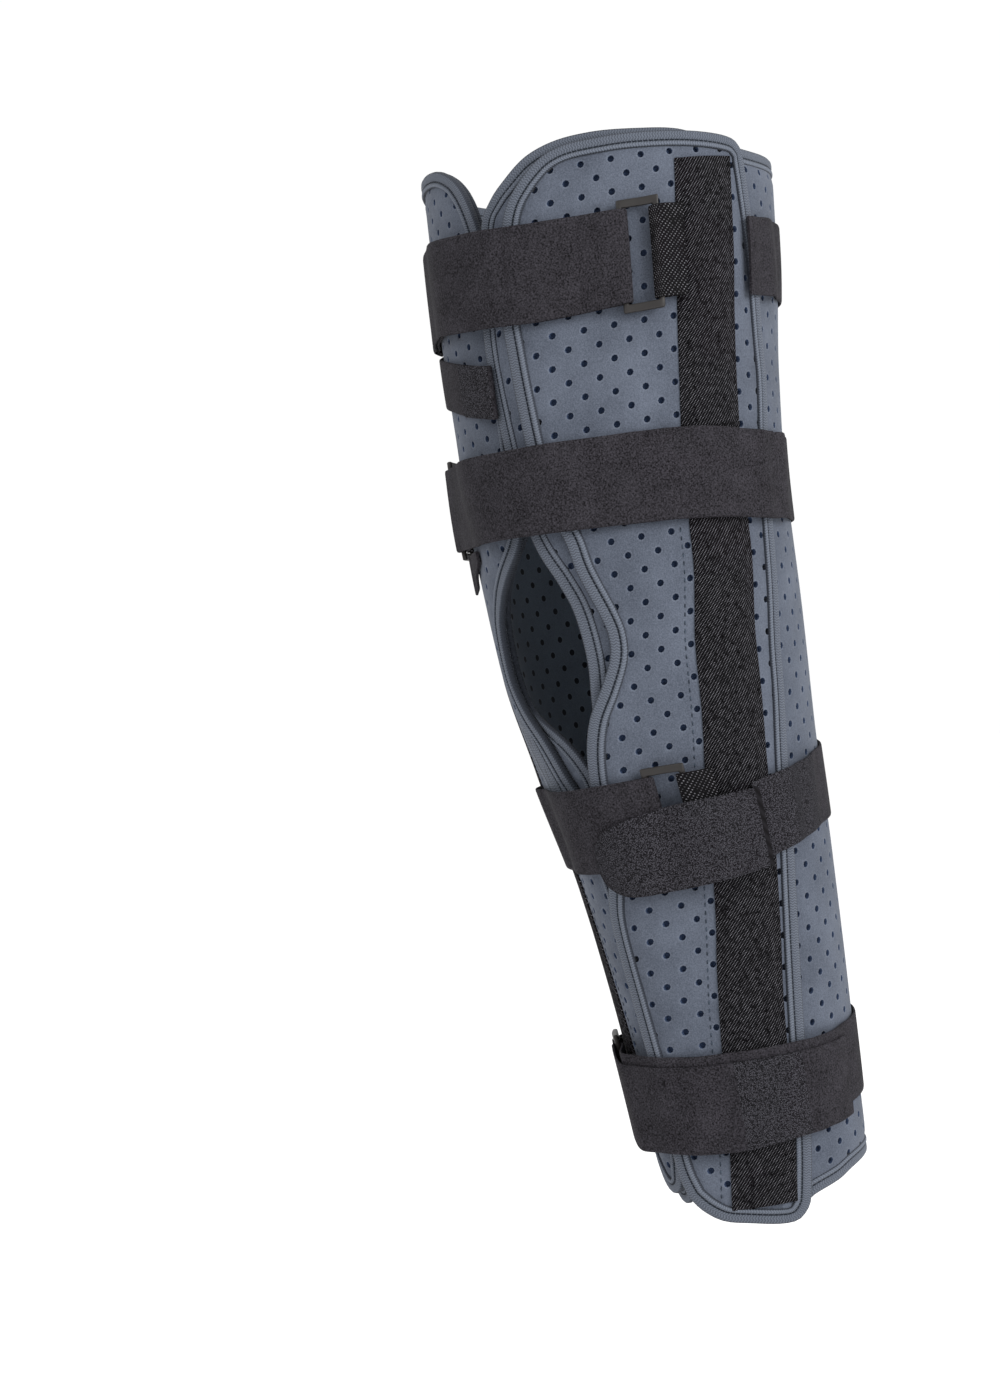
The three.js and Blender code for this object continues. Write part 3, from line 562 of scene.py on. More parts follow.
@dataclass(frozen=True)
class FoamCloth(Finish):
    """Brushed nylon knit bonded to foam: matte, with a short nap and a faintly uneven dye.

    The nap is drawn coarser than it is, so that it shows.
    """

    dark: str = "383d47"
    light: str = "575d69"
    spot: str = "10151d"
    relief: float = 0.55
    relief_mm: float = 0.6
    nap_mm: float = 0.7
    cloud_mm: float = 28.0
    rim_highlight_mm: float = 2.6
    pierced: bool = False

    def _reach(self, tree: bpy.types.NodeTree, flat: bpy.types.NodeSocket) -> bpy.types.NodeSocket:
        """How far a place is from the nearest hole of the lattice, in millimetres.

        Args:
            tree: The material's tree.
            flat: The piece's UV, in metres on the flat cloth.

        Returns:
            The socket with the distance.
        """
        off = []
        for up, shift in ((CELL_UP, 0.5), (-CELL_UP, 0.0)):
            slant = (0.5 / (CELL_ROUND * MM), 0.5 / (up * MM), 0)
            cells = add(tree, "ShaderNodeVectorMath", {0: flat, 1: slant}, operation="DOT_PRODUCT").outputs[1]
            cells = add(tree, MATH, {0: cells, 1: shift}, operation="SUBTRACT")
            off.append(add(tree, MATH, {0: cells, 1: 0.5, 2: -0.5}, operation="WRAP"))
        across = add(tree, MATH, dict(enumerate(off)), operation="ADD")
        up = add(tree, MATH, dict(enumerate(off)), operation="SUBTRACT")
        place = add(tree, "ShaderNodeCombineXYZ", {0: across, 1: up})
        size = (CELL_ROUND, CELL_UP, 0)
        place = add(tree, "ShaderNodeVectorMath", {0: place, 1: size}, operation="MULTIPLY")
        return add(tree, "ShaderNodeVectorMath", {0: place}, operation="LENGTH").outputs[1]

    def pattern(self, tree: bpy.types.NodeTree) -> Pattern:
        """The nap, the clouding, and a painted highlight on the rim round each hole."""
        place = add(tree, "ShaderNodeTexCoord")
        spot = place.outputs["Object"]
        nap = add(tree, NOISE, {"Vector": spot, "Scale": 1000 / self.nap_mm, "Detail": 3.0})
        cloud = add(tree, NOISE, {"Vector": spot, "Scale": 1000 / self.cloud_mm, "Detail": 2.0})
        reach = self._reach(tree, place.outputs["UV"])
        tone = add(tree, MATH, {0: nap, 1: 1.6, 2: -0.8}, operation="MULTIPLY_ADD")
        tone = add(tree, MATH, {0: cloud, 1: 0.9, 2: tone}, operation="MULTIPLY_ADD")
        # Painted highlight on the rim round each hole, lightest at the hole's edge
        ring = {"Value": reach, "From Min": self.rim_highlight_mm, "From Max": HOLE_RADIUS, "To Max": 0.45}
        share = add(tree, MATH, {0: tone, 1: add(tree, RANGE, ring)}, operation="ADD")
        relief = add(tree, MATH, {0: nap, 1: 0.25}, operation="MULTIPLY")
        relief = add(tree, MATH, {0: cloud, 1: 2.0, 2: relief}, operation="MULTIPLY_ADD")
        if not self.pierced:
            return Pattern(share, relief)
        return Pattern(share, relief, add(tree, MATH, {0: reach, 1: HOLE_RADIUS}, operation="LESS_THAN"))


@dataclass(frozen=True)
class FoamCore(Finish):
    """Cut dark foam in the walls of the holes, dull and bluish, with its open cells."""

    dark: str = "182030"
    light: str = "34425c"
    relief: float = 0.6
    relief_mm: float = 0.2
    cell_mm: float = 0.5

    def pattern(self, tree: bpy.types.NodeTree) -> Pattern:
        """The foam's cells."""
        spot = add(tree, "ShaderNodeTexCoord").outputs["Object"]
        cells = add(tree, "ShaderNodeTexVoronoi", {"Vector": spot, "Scale": 1000 / self.cell_mm})
        return Pattern(cells, cells)


@dataclass(frozen=True)
class EdgeTape(Finish):
    """Knitted binding tape: fine zigzag ribs on its flat band, a rolled ridge with a painted highlight,
    painted shade along both edges, and a dark stitched line that is also painted shade in the groove.
    """

    dark: str = "2b2f37"
    light: str = "5f6570"
    spot: str = "1a2028"
    relief: float = 0.7
    relief_mm: float = 0.35
    rib_mm: float = 1.35
    zigzag_mm: float = 1.1
    grain_mm: float = 0.625
    stitch_mm: float = 2.6
    # The dark stitched line in the groove, also painted shade of the groove: its middle and half its width,
    # in millimetres in from the edge
    seam: tuple[float, float] = (5.2, 0.45)
    # Painted highlight on the ridge, then painted shade at the outer and at the inner edge, where the tape
    # meets what lies under it: where each starts and where it is full, in millimetres in from the edge, and
    # its gain
    painted_light_and_shade: tuple[tuple[float, float, float], ...] = ((5.9, 6.7, 0.25), (1.0, 0.0, -1.0), (7.5, 8.0, -1.0))

    def pattern(self, tree: bpy.types.NodeTree) -> Pattern:
        """The ribs along the tape, the painted highlight on its ridge and the painted shade at its edges, and
        its stitches in the groove, whose dark line is also painted shade of the groove.
        """
        place = add(tree, "ShaderNodeTexCoord")
        flat = add(tree, "ShaderNodeSeparateXYZ", {0: place.outputs["UV"]})
        reach = add(tree, MATH, {0: flat.outputs[1], 1: MM}, operation="DIVIDE")
        zigzag = add(tree, MATH, {0: reach, 1: self.zigzag_mm}, operation="PINGPONG")
        rib = add(tree, MATH, {0: flat.outputs[0], 1: self.rib_mm * MM}, operation="DIVIDE")
        rib = add(tree, MATH, {0: zigzag, 1: 0.5, 2: rib}, operation="MULTIPLY_ADD")
        rib = add(tree, MATH, {0: rib, 1: 0.5}, operation="PINGPONG")
        rib = add(tree, MATH, {0: rib, 1: 2.0}, operation="MULTIPLY")
        yarn = {"Vector": place.outputs["Object"], "Scale": 1000 / self.grain_mm, "Detail": 2.0}
        grain = add(tree, NOISE, yarn)
        tone = add(tree, MATH, {0: rib, 1: 0.6}, operation="MULTIPLY")
        tone = add(tree, MATH, {0: grain, 1: 0.4, 2: tone}, operation="MULTIPLY_ADD")
        # Painted highlight on the ridge and painted shade along both edges
        for low, high, gain in self.painted_light_and_shade:
            edge = add(tree, RANGE, {"Value": reach, "From Min": low, "From Max": high, "To Max": gain})
            tone = add(tree, MATH, {0: tone, 1: edge}, operation="ADD")
        # The stitches in the groove: a nearly unbroken dark line that also stands as painted shade of the
        # groove
        middle, half = self.seam
        line = add(tree, MATH, {0: reach, 1: middle, 2: half}, operation="COMPARE")
        pitch = add(tree, MATH, {0: flat.outputs[0], 1: self.stitch_mm * MM}, operation="DIVIDE")
        pitch = add(tree, MATH, {0: pitch, 1: 0.5}, operation="PINGPONG")
        dash = add(tree, MATH, {0: pitch, 1: 0.06}, operation="GREATER_THAN")
        dash = add(tree, MATH, {0: line, 1: dash}, operation="MULTIPLY")
        height = add(tree, MATH, {0: grain, 1: 0.5, 2: rib}, operation="MULTIPLY_ADD")
        return Pattern(tone, add(tree, MATH, {0: height, 1: dash}, operation="SUBTRACT"), dash)


@dataclass(frozen=True)
class TwillWebbing(Finish):
    """Coarse twill webbing: yarns that cross on the slant, black, with light flecks of painted highlight
    where they turn up.

    The yarns are drawn coarser than they are, so that they show.
    """

    light: str = "8c8b92"
    relief: float = 0.8
    relief_mm: float = 0.35
    slant_mm: float = 1.6
    pick_mm: float = 1.25
    slant: float = 0.6
    fleck_mm: float = 2.2

    def pattern(self, tree: bpy.types.NodeTree) -> Pattern:
        """The yarns and the flecks of painted highlight on them."""
        place = add(tree, "ShaderNodeTexCoord")
        flat = add(tree, "ShaderNodeSeparateXYZ", {0: place.outputs["UV"]})
        across, along = flat.outputs[0], flat.outputs[1]
        lean = add(tree, MATH, {0: along, 1: self.slant, 2: across}, operation="MULTIPLY_ADD")
        waves = []
        for reach, size in ((lean, self.slant_mm), (along, self.pick_mm)):
            turn = add(tree, MATH, {0: reach, 1: math.tau * 1000 / size}, operation="MULTIPLY")
            waves.append(add(tree, MATH, {0: turn}, operation="SINE"))
        yarn = add(tree, MATH, dict(enumerate(waves)), operation="MULTIPLY")
        spread = {"Vector": place.outputs["Object"], "Scale": 1000 / self.fleck_mm, "Detail": 4.0}
        fleck = add(tree, NOISE, spread)
        # Painted highlight on the crowns of the yarns, in patches
        shine = add(tree, RANGE, {"Value": yarn, "From Min": 0.45, "From Max": 1.0})
        patch = add(tree, RANGE, {"Value": fleck, "From Min": 0.3, "From Max": 0.66})
        share = add(tree, MATH, {0: shine, 1: patch}, operation="MULTIPLY")
        return Pattern(share, add(tree, MATH, {0: yarn, 1: fleck}, operation="ADD"))


@dataclass(frozen=True)
class MeshWebbing(TwillWebbing):
    """Open knitted nylon webbing: knobs of yarn in rows with dark gaps between them, their tops lightened
    with painted highlight.
    """

    light: str = "77767b"
    slant_mm: float = 2.4
    pick_mm: float = 2.1
    slant: float = 0.3
    fleck_mm: float = 3.0


@dataclass(frozen=True)
class LoopCloth(Finish):
    """Brushed nylon loop cloth: charcoal and dull, with a nap that lies every way and rubbed patches.

    The nap is drawn coarser than it is, so that it shows.
    """

    light: str = "353338"
    relief: float = 0.45
    relief_mm: float = 0.4
    nap_mm: float = 0.8
    wear_mm: float = 14.0

    def pattern(self, tree: bpy.types.NodeTree) -> Pattern:
        """The nap and the rubbed patches."""
        spot = add(tree, "ShaderNodeTexCoord").outputs["Object"]
        nap = add(tree, NOISE, {"Vector": spot, "Scale": 1000 / self.nap_mm, "Detail": 3.0})
        wear = add(tree, NOISE, {"Vector": spot, "Scale": 1000 / self.wear_mm, "Detail": 3.0})
        tone = add(tree, MATH, {0: wear, 1: 0.2, 2: nap}, operation="MULTIPLY_ADD")
        share = add(tree, RANGE, {"Value": tone, "From Min": 0.42, "From Max": 0.8})
        return Pattern(share, add(tree, MATH, {0: wear, 1: 1.2, 2: nap}, operation="MULTIPLY_ADD"))


@dataclass(frozen=True)
class HookFace(Finish):
    """Moulded nylon hook tape: rows of small hooks that look like coarse dark grit, each hook's tip lightened
    with painted highlight.
    """

    light: str = "4a494f"
    relief: float = 0.9
    relief_mm: float = 0.45
    sunk: bool = True
    hook_mm: float = 0.62
    grit_mm: float = 0.7143

    def pattern(self, tree: bpy.types.NodeTree) -> Pattern:
        """The rows of hooks, with a painted highlight on each hook's tip."""
        place = add(tree, "ShaderNodeTexCoord")
        rows = {"Vector": place.outputs["UV"], "Scale": 1000 / self.hook_mm, "Randomness": 0.55}
        cells = add(tree, "ShaderNodeTexVoronoi", rows)
        grain = {"Vector": place.outputs["Object"], "Scale": 1000 / self.grit_mm, "Detail": 2.0}
        grit = add(tree, MATH, {0: add(tree, NOISE, grain), 1: 0.3}, operation="ADD")
        # Painted highlight on each hook's tip, lightest at the middle of its cell
        hook_highlight = add(tree, MATH, {0: 0.75, 1: cells}, operation="SUBTRACT")
        share = add(tree, MATH, {0: hook_highlight, 1: grit}, operation="MULTIPLY")
        return Pattern(add(tree, RANGE, {"Value": share, "From Min": 0.1, "From Max": 0.5}), cells)


@dataclass(frozen=True)
class MouldedPlastic(Finish):
    """Moulded acetal: an even dark taupe with a fine satin bite from the mould."""

    light: str = "23201f"
    relief: float = 0.25
    bite_mm: float = 0.5556
    mottle_mm: float = 6.25

    def pattern(self, tree: bpy.types.NodeTree) -> Pattern:
        """The faint mottle and the bite."""
        spot = add(tree, "ShaderNodeTexCoord").outputs["Object"]
        bite, mottle = (
            add(tree, NOISE, {"Vector": spot, "Scale": 1000 / size, "Detail": 2.0})
            for size in (self.bite_mm, self.mottle_mm)
        )
        return Pattern(mottle, bite)


@dataclass(frozen=True)
class Thread(Finish):
    """Twisted polyester sewing thread: a dull line with a fine slant from its twist."""

    light: str = "353f4b"
    relief: float = 0.4
    ply_mm: float = 0.5

    def pattern(self, tree: bpy.types.NodeTree) -> Pattern:
        """The thread's twist. The wave texture has 20 bands to a unit."""
        spot = add(tree, "ShaderNodeTexCoord").outputs["Object"]
        ply = {"Vector": spot, "Scale": 1000 / self.ply_mm / 20, "Distortion": 1.0}
        twist = add(tree, "ShaderNodeTexWave", ply, bands_direction="DIAGONAL").outputs[1]
        return Pattern(twist, twist)


FOAM_CLOTH = FoamCloth("brushed_nylon_foam_laminate", "5e6a77", 0.93, 0.05)
# The foam's inner face: the same cloth painted lighter, as painted light falling in through the openings,
# with its holes drawn on it
FOAM_LINING = FoamCloth(
    "brushed_nylon_lining", "515c68", 0.95, 0.1, dark="4d5662", light="69737f", pierced=True
)
FOAM_CORE = FoamCore("cut_dark_foam", "34425c", 0.95)
EDGE_TAPE = EdgeTape("knitted_binding_tape", "4a5562", 0.85, 0.04)
POCKET_TWILL = TwillWebbing("polypropylene_twill_webbing", "060507", 0.9, specular=0.06)
LOOP_CLOTH = LoopCloth("brushed_nylon_loop_cloth", "0a090b", 0.95, specular=0.1)
HOOK_FACE = HookFace("moulded_nylon_hook_tape", "0b0a0c", 0.9, specular=0.06)
MESH_WEBBING = MeshWebbing("knitted_nylon_mesh_webbing", "080709", 0.9, specular=0.1)
RING_PLASTIC = MouldedPlastic("moulded_acetal", "151312", 0.45, specular=0.32)
SEAM_THREAD = Thread("polyester_sewing_thread", "1b222b", 0.8)
STRAP_THREAD = Thread("black_sewing_thread", "09080a", 0.85, specular=0.1, light="161518")


def finished(
    name: str, bm: bmesh.types.BMesh, finishes: Sequence[Finish], sharp_deg: float = 50.0
) -> bpy.types.Object:
    """Makes an object of a bmesh and dresses it.

    Args:
        name: The object's name.
        bm: Its mesh, which is freed.
        finishes: Its materials, in the order of the faces' indices.
        sharp_deg: Edges that turn more than this stay sharp.

    Returns:
        The object.
    """
    bmesh.ops.recalc_face_normals(bm, faces=bm.faces[:])
    mesh = bpy.data.meshes.new(name)
    bm.to_mesh(mesh)
    bm.free()
    mesh.shade_smooth()
    mesh.set_sharp_from_angle(angle=math.radians(sharp_deg))
    for finish in finishes:
        mesh.materials.append(finish.material())
    made = bpy.data.objects.new(name, mesh)
    bpy.context.scene.collection.objects.link(made)
    log.info("%s: %d faces", name, len(mesh.polygons))
    return made


def grid(columns: int, rows: int) -> tuple[bmesh.types.BMesh, dict[bmesh.types.BMVert, tuple[int, int]]]:
    """A flat grid that is bent to a form.

    Args:
        columns: How many faces it has one way.
        rows: How many it has the other way.

    Returns:
        The grid, and the column and row of each of its points.
    """
    bm = bmesh.new()
    bmesh.ops.create_grid(bm, x_segments=columns, y_segments=rows, size=1.0)
    places = {
        vert: (round((vert.co.x + 1) / 2 * columns), round((vert.co.y + 1) / 2 * rows)) for vert in bm.verts
    }
    return bm, places


def close(bm: bmesh.types.BMesh) -> None:
    """Merges the grid's edges where they meet and fills its open ends."""
    bmesh.ops.remove_doubles(bm, verts=bm.verts[:], dist=MERGE * MM)
    bmesh.ops.holes_fill(bm, edges=[edge for edge in bm.edges if edge.is_boundary], sides=0)


def settle(piece: bpy.types.Object, slot: Slot, *nodes: str) -> bpy.types.Object:
    """Lets a piece ride on the part and stand for its nodes.

    Args:
        piece: The finished piece.
        slot: Not used.
        nodes: The nodes that it stands for.

    Returns:
        The piece.
    """
    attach(piece, "root")
    if nodes:
        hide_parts(*nodes)
    return piece


class Outline:
    """The cut edge of a foam piece, as angle and height, anticlockwise seen from outside."""

    STEPS = 12
    SPACING = 3.2
    REACH = 3

    def __init__(self, edges: Edges) -> None:
        """Follows the four edges and spaces the points evenly."""
        self._scale = math.radians(1) * LEG.radius(0)
        front, top, rear, bottom = (
            self._spline(rows) for rows in (edges.front, edges.top, edges.rear, edges.bottom)
        )
        loop = bottom[:-1] + rear[:-1] + top[::-1][:-1] + front[::-1][:-1]
        turn = sum(a[0] * b[1] - b[0] * a[1] for a, b in zip(loop, loop[1:] + loop[:1]))
        self.points = self._even(loop if turn > 0 else loop[::-1])
        self.inward = self._normals()

    def _spline(self, rows: Rows) -> list[Place]:
        """Points on a smooth curve through an edge's rows."""
        spots = [Vector((angle * self._scale, height_of(level))) for level, angle in rows]
        last = len(spots) - 1
        curve = []
        for k in range(last):
            a, b, c, d = (spots[min(max(k + i, 0), last)] for i in (-1, 0, 1, 2))
            for i in range(self.STEPS):
                t = i / self.STEPS
                bend = (2 * a - 5 * b + 4 * c - d) * t * t + (3 * b - a - 3 * c + d) * t**3
                curve.append((2 * b + (c - a) * t + bend) / 2)
        curve.append(spots[-1])
        return [(spot.x / self._scale, spot.y) for spot in curve]

    def _gap(self, a: Place, b: Place) -> float:
        """The distance over the leg between two places."""
        scale = math.radians(1) * LEG.radius((a[1] + b[1]) / 2)
        return math.hypot((b[0] - a[0]) * scale, b[1] - a[1])

    def _even(self, loop: list[Place]) -> list[Place]:
        """The same loop with its points evenly spaced."""
        closed = [*loop, loop[0]]
        reach = [0.0]
        for a, b in zip(closed, closed[1:]):
            reach.append(reach[-1] + self._gap(a, b))
        self.length = reach[-1]
        count = round(self.length / self.SPACING)
        even = []
        k = 0
        for i in range(count):
            at = self.length * i / count
            while reach[k + 1] < at:
                k += 1
            share = (at - reach[k]) / max(reach[k + 1] - reach[k], 1e-9)
            a, b = closed[k], closed[k + 1]
            even.append((mix(a[0], b[0], share), mix(a[1], b[1], share)))
        return even

    def _normals(self) -> list[Vector]:
        """The way inwards over the foam at each point, smoothed over its neighbours."""
        count = len(self.points)
        ways = []
        for i, (_, z) in enumerate(self.points):
            scale = math.radians(1) * LEG.radius(z)
            before = self.points[(i - self.REACH) % count]
            after = self.points[(i + self.REACH) % count]
            ways.append(Vector((before[1] - after[1], (after[0] - before[0]) * scale)).normalized())
        return ways

    def inset(self, i: int, distance: float) -> Place:
        """The place a distance inwards from one point of the edge."""
        angle, z = self.points[i]
        scale = math.radians(1) * LEG.radius(z)
        way = self.inward[i]
        return angle + way.x * distance / scale, z + way.y * distance

    def spans(self, distance: float, z: float) -> list[float]:
        """The angles at which the inset edge crosses a height, in order."""
        loop = [self.inset(i, distance) for i in range(len(self.points))]
        found = []
        for a, b in zip(loop, loop[1:] + loop[:1]):
            if (a[1] > z) != (b[1] > z):
                found.append(mix(a[0], b[0], (z - a[1]) / (b[1] - a[1])))
        return sorted(found)

    def area(self) -> float:
        """The area of the cut in square metres."""
        total = 0.0
        for a, b in zip(self.points, self.points[1:] + self.points[:1]):
            scale = math.radians(1) * (LEG.radius((a[1] + b[1]) / 2) + FOAM)
            total += (a[0] * b[1] - b[0] * a[1]) * scale / 2
        return abs(total) * MM * MM

    def flat(self) -> Place:
        """The width and length in metres of the cloth that it is cut from."""
        widths = [(angle - 180) * math.radians(1) * (LEG.radius(z) + FOAM) for angle, z in self.points]
        heights = [z for _, z in self.points]
        return (max(widths) - min(widths)) * MM, (max(heights) - min(heights)) * MM


RIM_EDGE = column(MEDIAL_EDGES.front, 0, 1)

# Points of the flat foam below this height are on its inner face
INNER_FACE = -0.9 * FOAM


def at_rim(angle: float, z: float) -> bool:
    """Whether a place is on the ribbed bands beside the lower half of the kneecap's opening."""
    reach = math.radians(RIM_EDGE.at(level_of(z)) - angle) * LEG.radius(z)
    return RIM_LOW < z < RIM_HIGH and 0 < reach < RIM_WIDTH * ease((RIM_TIP - z) / RIM_GROWTH)


@dataclass
class FoamPiece:
    """A perforated foam piece and the tape bound round its edge."""

    node: str
    edges: Edges
    inner: float
    tape_scale: float
    lift: Callable[[float, float], float]
    line: Callable[[float], float]
    pierced: Callable[[float, float, float], bool]
    rests_on: tuple[str, ...] = ()
    tuck: float = 4.0
    hole_depth: float = 2.7
    sunk: float = 0.95
    swell: float = 6.0
    grip: float = 0.5
    lip: float = 0.3
    taper: float = 0.12
    outline: Outline = field(init=False)

    def __post_init__(self) -> None:
        """Lays out the cut edge."""
        self.outline = Outline(self.edges)

    def _angle(self, u: float, z: float) -> float:
        """The angle of a place that lies a distance round from the lattice's line."""
        return self.line(z) + math.degrees(u / (LEG.radius(z) + self.inner + FOAM))

    def _edge_tree(self) -> KDTree:
        """The cut edge, to measure distances from."""
        points = self.outline.points
        tree = KDTree(len(points))
        for i, (angle, z) in enumerate(points):
            tree.insert((math.radians(angle) * LEG.radius(z), z, 0), i)
        tree.balance()
        return tree

    @staticmethod
    def _beyond_tape(tree: KDTree, angle: float, z: float) -> float:
        """How far a place is from the tape's inner edge, negative under the tape."""
        _, _, reach = tree.find((math.radians(angle) * LEG.radius(z), z, 0))
        return reach - TAPE_WIDTH

    def _press(self, tree: KDTree, angle: float, z: float) -> float:
        """How far the tape pulls the foam's face down at a place."""
        return self.sunk * (1 - ease((self._beyond_tape(tree, angle, z) + self.grip) / self.swell))

    def _band(self, tree: KDTree, angle: float, z: float) -> float:
        """Where a place lies across the ribbed bands that run beside the tape."""
        return abs(self._beyond_tape(tree, angle, z) % (2 * TAPE_WIDTH) - TAPE_WIDTH)

    def foam(self) -> bpy.types.Object:
        """The foam with its holes, laid out flat, pierced and then bent over the leg."""
        finishes = (FOAM_CLOTH, FOAM_CORE, FOAM_LINING, EDGE_TAPE)
        half_u, half_z = CELL_ROUND / 2, CELL_UP / 2
        reach = [
            math.radians(angle - self.line(z)) * (LEG.radius(z) + self.inner + FOAM)
            for angle, z in self.outline.points
        ]
        heights = [z for _, z in self.outline.points]
        low_i, high_i = math.floor(min(reach) / half_u) - 1, math.ceil(max(reach) / half_u) + 1
        low_j, high_j = math.floor(min(heights) / half_z) - 1, math.ceil(max(heights) / half_z) + 1
        middle = Matrix.Translation(((low_i + high_i) * half_u / 2, (low_j + high_j) * half_z / 2, 0))
        size = Matrix.Diagonal(((high_i - low_i) * half_u / 2, (high_j - low_j) * half_z / 2, 1, 1))
        bm = bmesh.new()
        bmesh.ops.create_grid(
            bm, x_segments=high_i - low_i, y_segments=high_j - low_j, size=1.0, matrix=middle @ size
        )
        spans: dict[int, list[float]] = {}
        outside = []
        for face in bm.faces:
            spot = face.calc_center_median()
            row = math.floor(spot.y / half_z)
            if row not in spans:
                spans[row] = self.outline.spans(self.tuck, spot.y)
            angle = self._angle(spot.x, spot.y)
            if sum(edge < angle for edge in spans[row]) % 2 == 0:
                outside.append(face)
        bmesh.ops.delete(bm, geom=outside, context="FACES")
        bmesh.ops.solidify(bm, geom=bm.faces[:], thickness=FOAM)
        top = max(v.co.z for v in bm.verts)
        for vert in bm.verts:
            vert.co.z -= top
        self._pierce(bm, half_u, half_z)
        flat = bm.loops.layers.uv.new("UVMap")
        for face in bm.faces:
            if all(v.co.z < INNER_FACE for v in face.verts):
                face.material_index = finishes.index(FOAM_LINING)
            for loop in face.loops:
                loop[flat].uv = (loop.vert.co.x * MM, loop.vert.co.y * MM)
        tree = self._edge_tree()
        for face in bm.faces:
            spot = face.calc_center_median()
            if face.material_index == 0 and at_rim(self._angle(spot.x, spot.y), spot.y):
                face.material_index = finishes.index(EDGE_TAPE)
                for loop in face.loops:
                    across = self._band(tree, self._angle(loop.vert.co.x, loop.vert.co.y), loop.vert.co.y)
                    loop[flat].uv = (loop.vert.co.y * MM, across * MM)
        for vert in bm.verts:
            u, z, depth = vert.co
            angle = self._angle(u, z)
            sunk = self._press(tree, angle, z) if depth > INNER_FACE else 0.0
            vert.co = LEG.point(angle, z, self.inner + FOAM + depth - sunk + self.lift(angle, z))
        return finished(f"{self.node}_foam", bm, finishes, sharp_deg=60.0)

    def _pierce(self, bm: bmesh.types.BMesh, half_u: float, half_z: float) -> None:
        """Sinks a round blind hole in every other cell of the lattice.

        Args:
            bm: The flat foam, its outer face at height 0.
            half_u: Half a cell's size round the leg.
            half_z: Half a cell's size up the leg.
        """
        centres = []
        for vert in bm.verts:
            if abs(vert.co.z) > MERGE or len(vert.link_faces) != 4:
                continue
            if any(abs(face.normal.z) < 0.5 for face in vert.link_faces):
                continue
            i, j = round(vert.co.x / half_u), round(vert.co.y / half_z)
            chosen = i % 2 and j % 2 and ((i - 1) // 2 + (j - 1) // 2) % 2 == 0
            if chosen and self.pierced(self._angle(vert.co.x, vert.co.y), vert.co.y, vert.co.x):
                centres.append(vert)
        bmesh.ops.dissolve_verts(bm, verts=centres)
        holes = [face for face in bm.faces if len(face.verts) == 8 and abs(face.verts[0].co.z) < MERGE]
        for radius, depth, core in (
            (HOLE_RADIUS + self.lip, 0.0, False),
            (HOLE_RADIUS, self.lip, False),
            (HOLE_RADIUS - self.taper, self.hole_depth, True),
        ):
            rim = bmesh.ops.inset_individual(bm, faces=holes, thickness=0.1)["faces"]
            for face in rim:
                face.material_index = int(core)
            for face in holes:
                centre = face.calc_center_median()
                for vert in face.verts:
                    way = Vector((vert.co.x - centre.x, vert.co.y - centre.y, 0)).normalized()
                    vert.co = Vector((centre.x, centre.y, -depth)) + way * radius
        for face in holes:
            face.material_index = 1

    def tape(self) -> bpy.types.Object:
        """The tape round the edge: a flat band over the edge, then a rolled ridge."""
        count = len(self.outline.points)
        section = TAPE_SECTION
        bm, index = grid(count, len(section))
        flat = bm.loops.layers.uv.new("UVMap")
        for face in bm.faces:
            for loop in face.loops:
                i, j = index[loop.vert]
                reach = section[j % len(section)][0]
                loop[flat].uv = (self.outline.length * i / count * MM, reach * MM)
        for vert, (i, j) in index.items():
            inward, height = section[j % len(section)]
            angle, z = self.outline.inset(i % count, inward)
            offset = self.inner + height * self.tape_scale + self.lift(angle, z)
            vert.co = LEG.point(angle, z, offset)
        bmesh.ops.remove_doubles(bm, verts=bm.verts[:], dist=MERGE * MM)
        return finished(f"{self.node}_binding", bm, (EDGE_TAPE,), sharp_deg=75.0)

    def build(self) -> list[bpy.types.Object]:
        """Makes the piece.

        Returns:
            The foam and the tape.
        """
        foam = settle(self.foam(), Slot.FOAM, self.node)
        tape = settle(self.tape(), Slot.TAPE, f"{self.node}_edge_tape")
        width, length = self.outline.flat()
        min(self.outline.area(), width * length)
        return [foam, tape]


@dataclass(frozen=True)
class Step:
    """One step of a band's path: where it is, its rise over its seat, and its two edges."""

    angle: float
    rise: float
    top: float
    bottom: float


class Band:
    """A band round the leg, read off its table."""

    FOLD_STEPS = 12
    ROUND_STEP = 2.5

    def __init__(self, rows: Rows) -> None:
        """Reads the table of angle, level and width."""
        self._level = column(rows, 0, 1)
        self._width = column(rows, 0, 2)

    def edges(self, angle: float, shift: float = 0.0) -> Place:
        """The heights of the band's top and bottom edges at an angle."""
        middle = height_of(self._level.at(angle)) + shift
        half = STRAP_WIDTH * self._width.at(angle) / 2
        return middle + half, middle - half

    def step(self, angle: float, rise: float, shift: float = 0.0) -> Step:
        """One step of the band at an angle."""
        return Step(angle, rise, *self.edges(angle, shift))

    def run(self, start: float, end: float, rise: float) -> list[Step]:
        """Steps at one rise from one angle to another."""
        return [self.step(angle, rise) for angle in sweep(start, end, self.ROUND_STEP)]

    def fold(self, angle: float, direction: int, low: float, radius: float) -> list[Step]:
        """The half circle in which the band goes round a bar.

        Args:
            angle: Where the bar is.
            direction: 1 if the fold faces the outer side, else -1.
            low: The rise of the lower layer.
            radius: The fold's radius.

        Returns:
            The steps between the two layers.
        """
        top, bottom = self.edges(angle)
        step = math.degrees(1 / (LEG.radius(top) + PANEL_SEAT))
        turns = [math.pi * (i + 1) / self.FOLD_STEPS for i in range(self.FOLD_STEPS - 1)]
        return [
            Step(
                angle + direction * radius * step * math.sin(turn),
                low + radius * (1 - math.cos(turn)),
                top,
                bottom,
            )
            for turn in turns
        ]

    def distance(self, start: float, end: float) -> float:
        """The distance round the leg between two angles at the band's height."""
        return math.radians(abs(end - start)) * (LEG.radius(sum(self.edges(start)) / 2) + PANEL_SEAT)


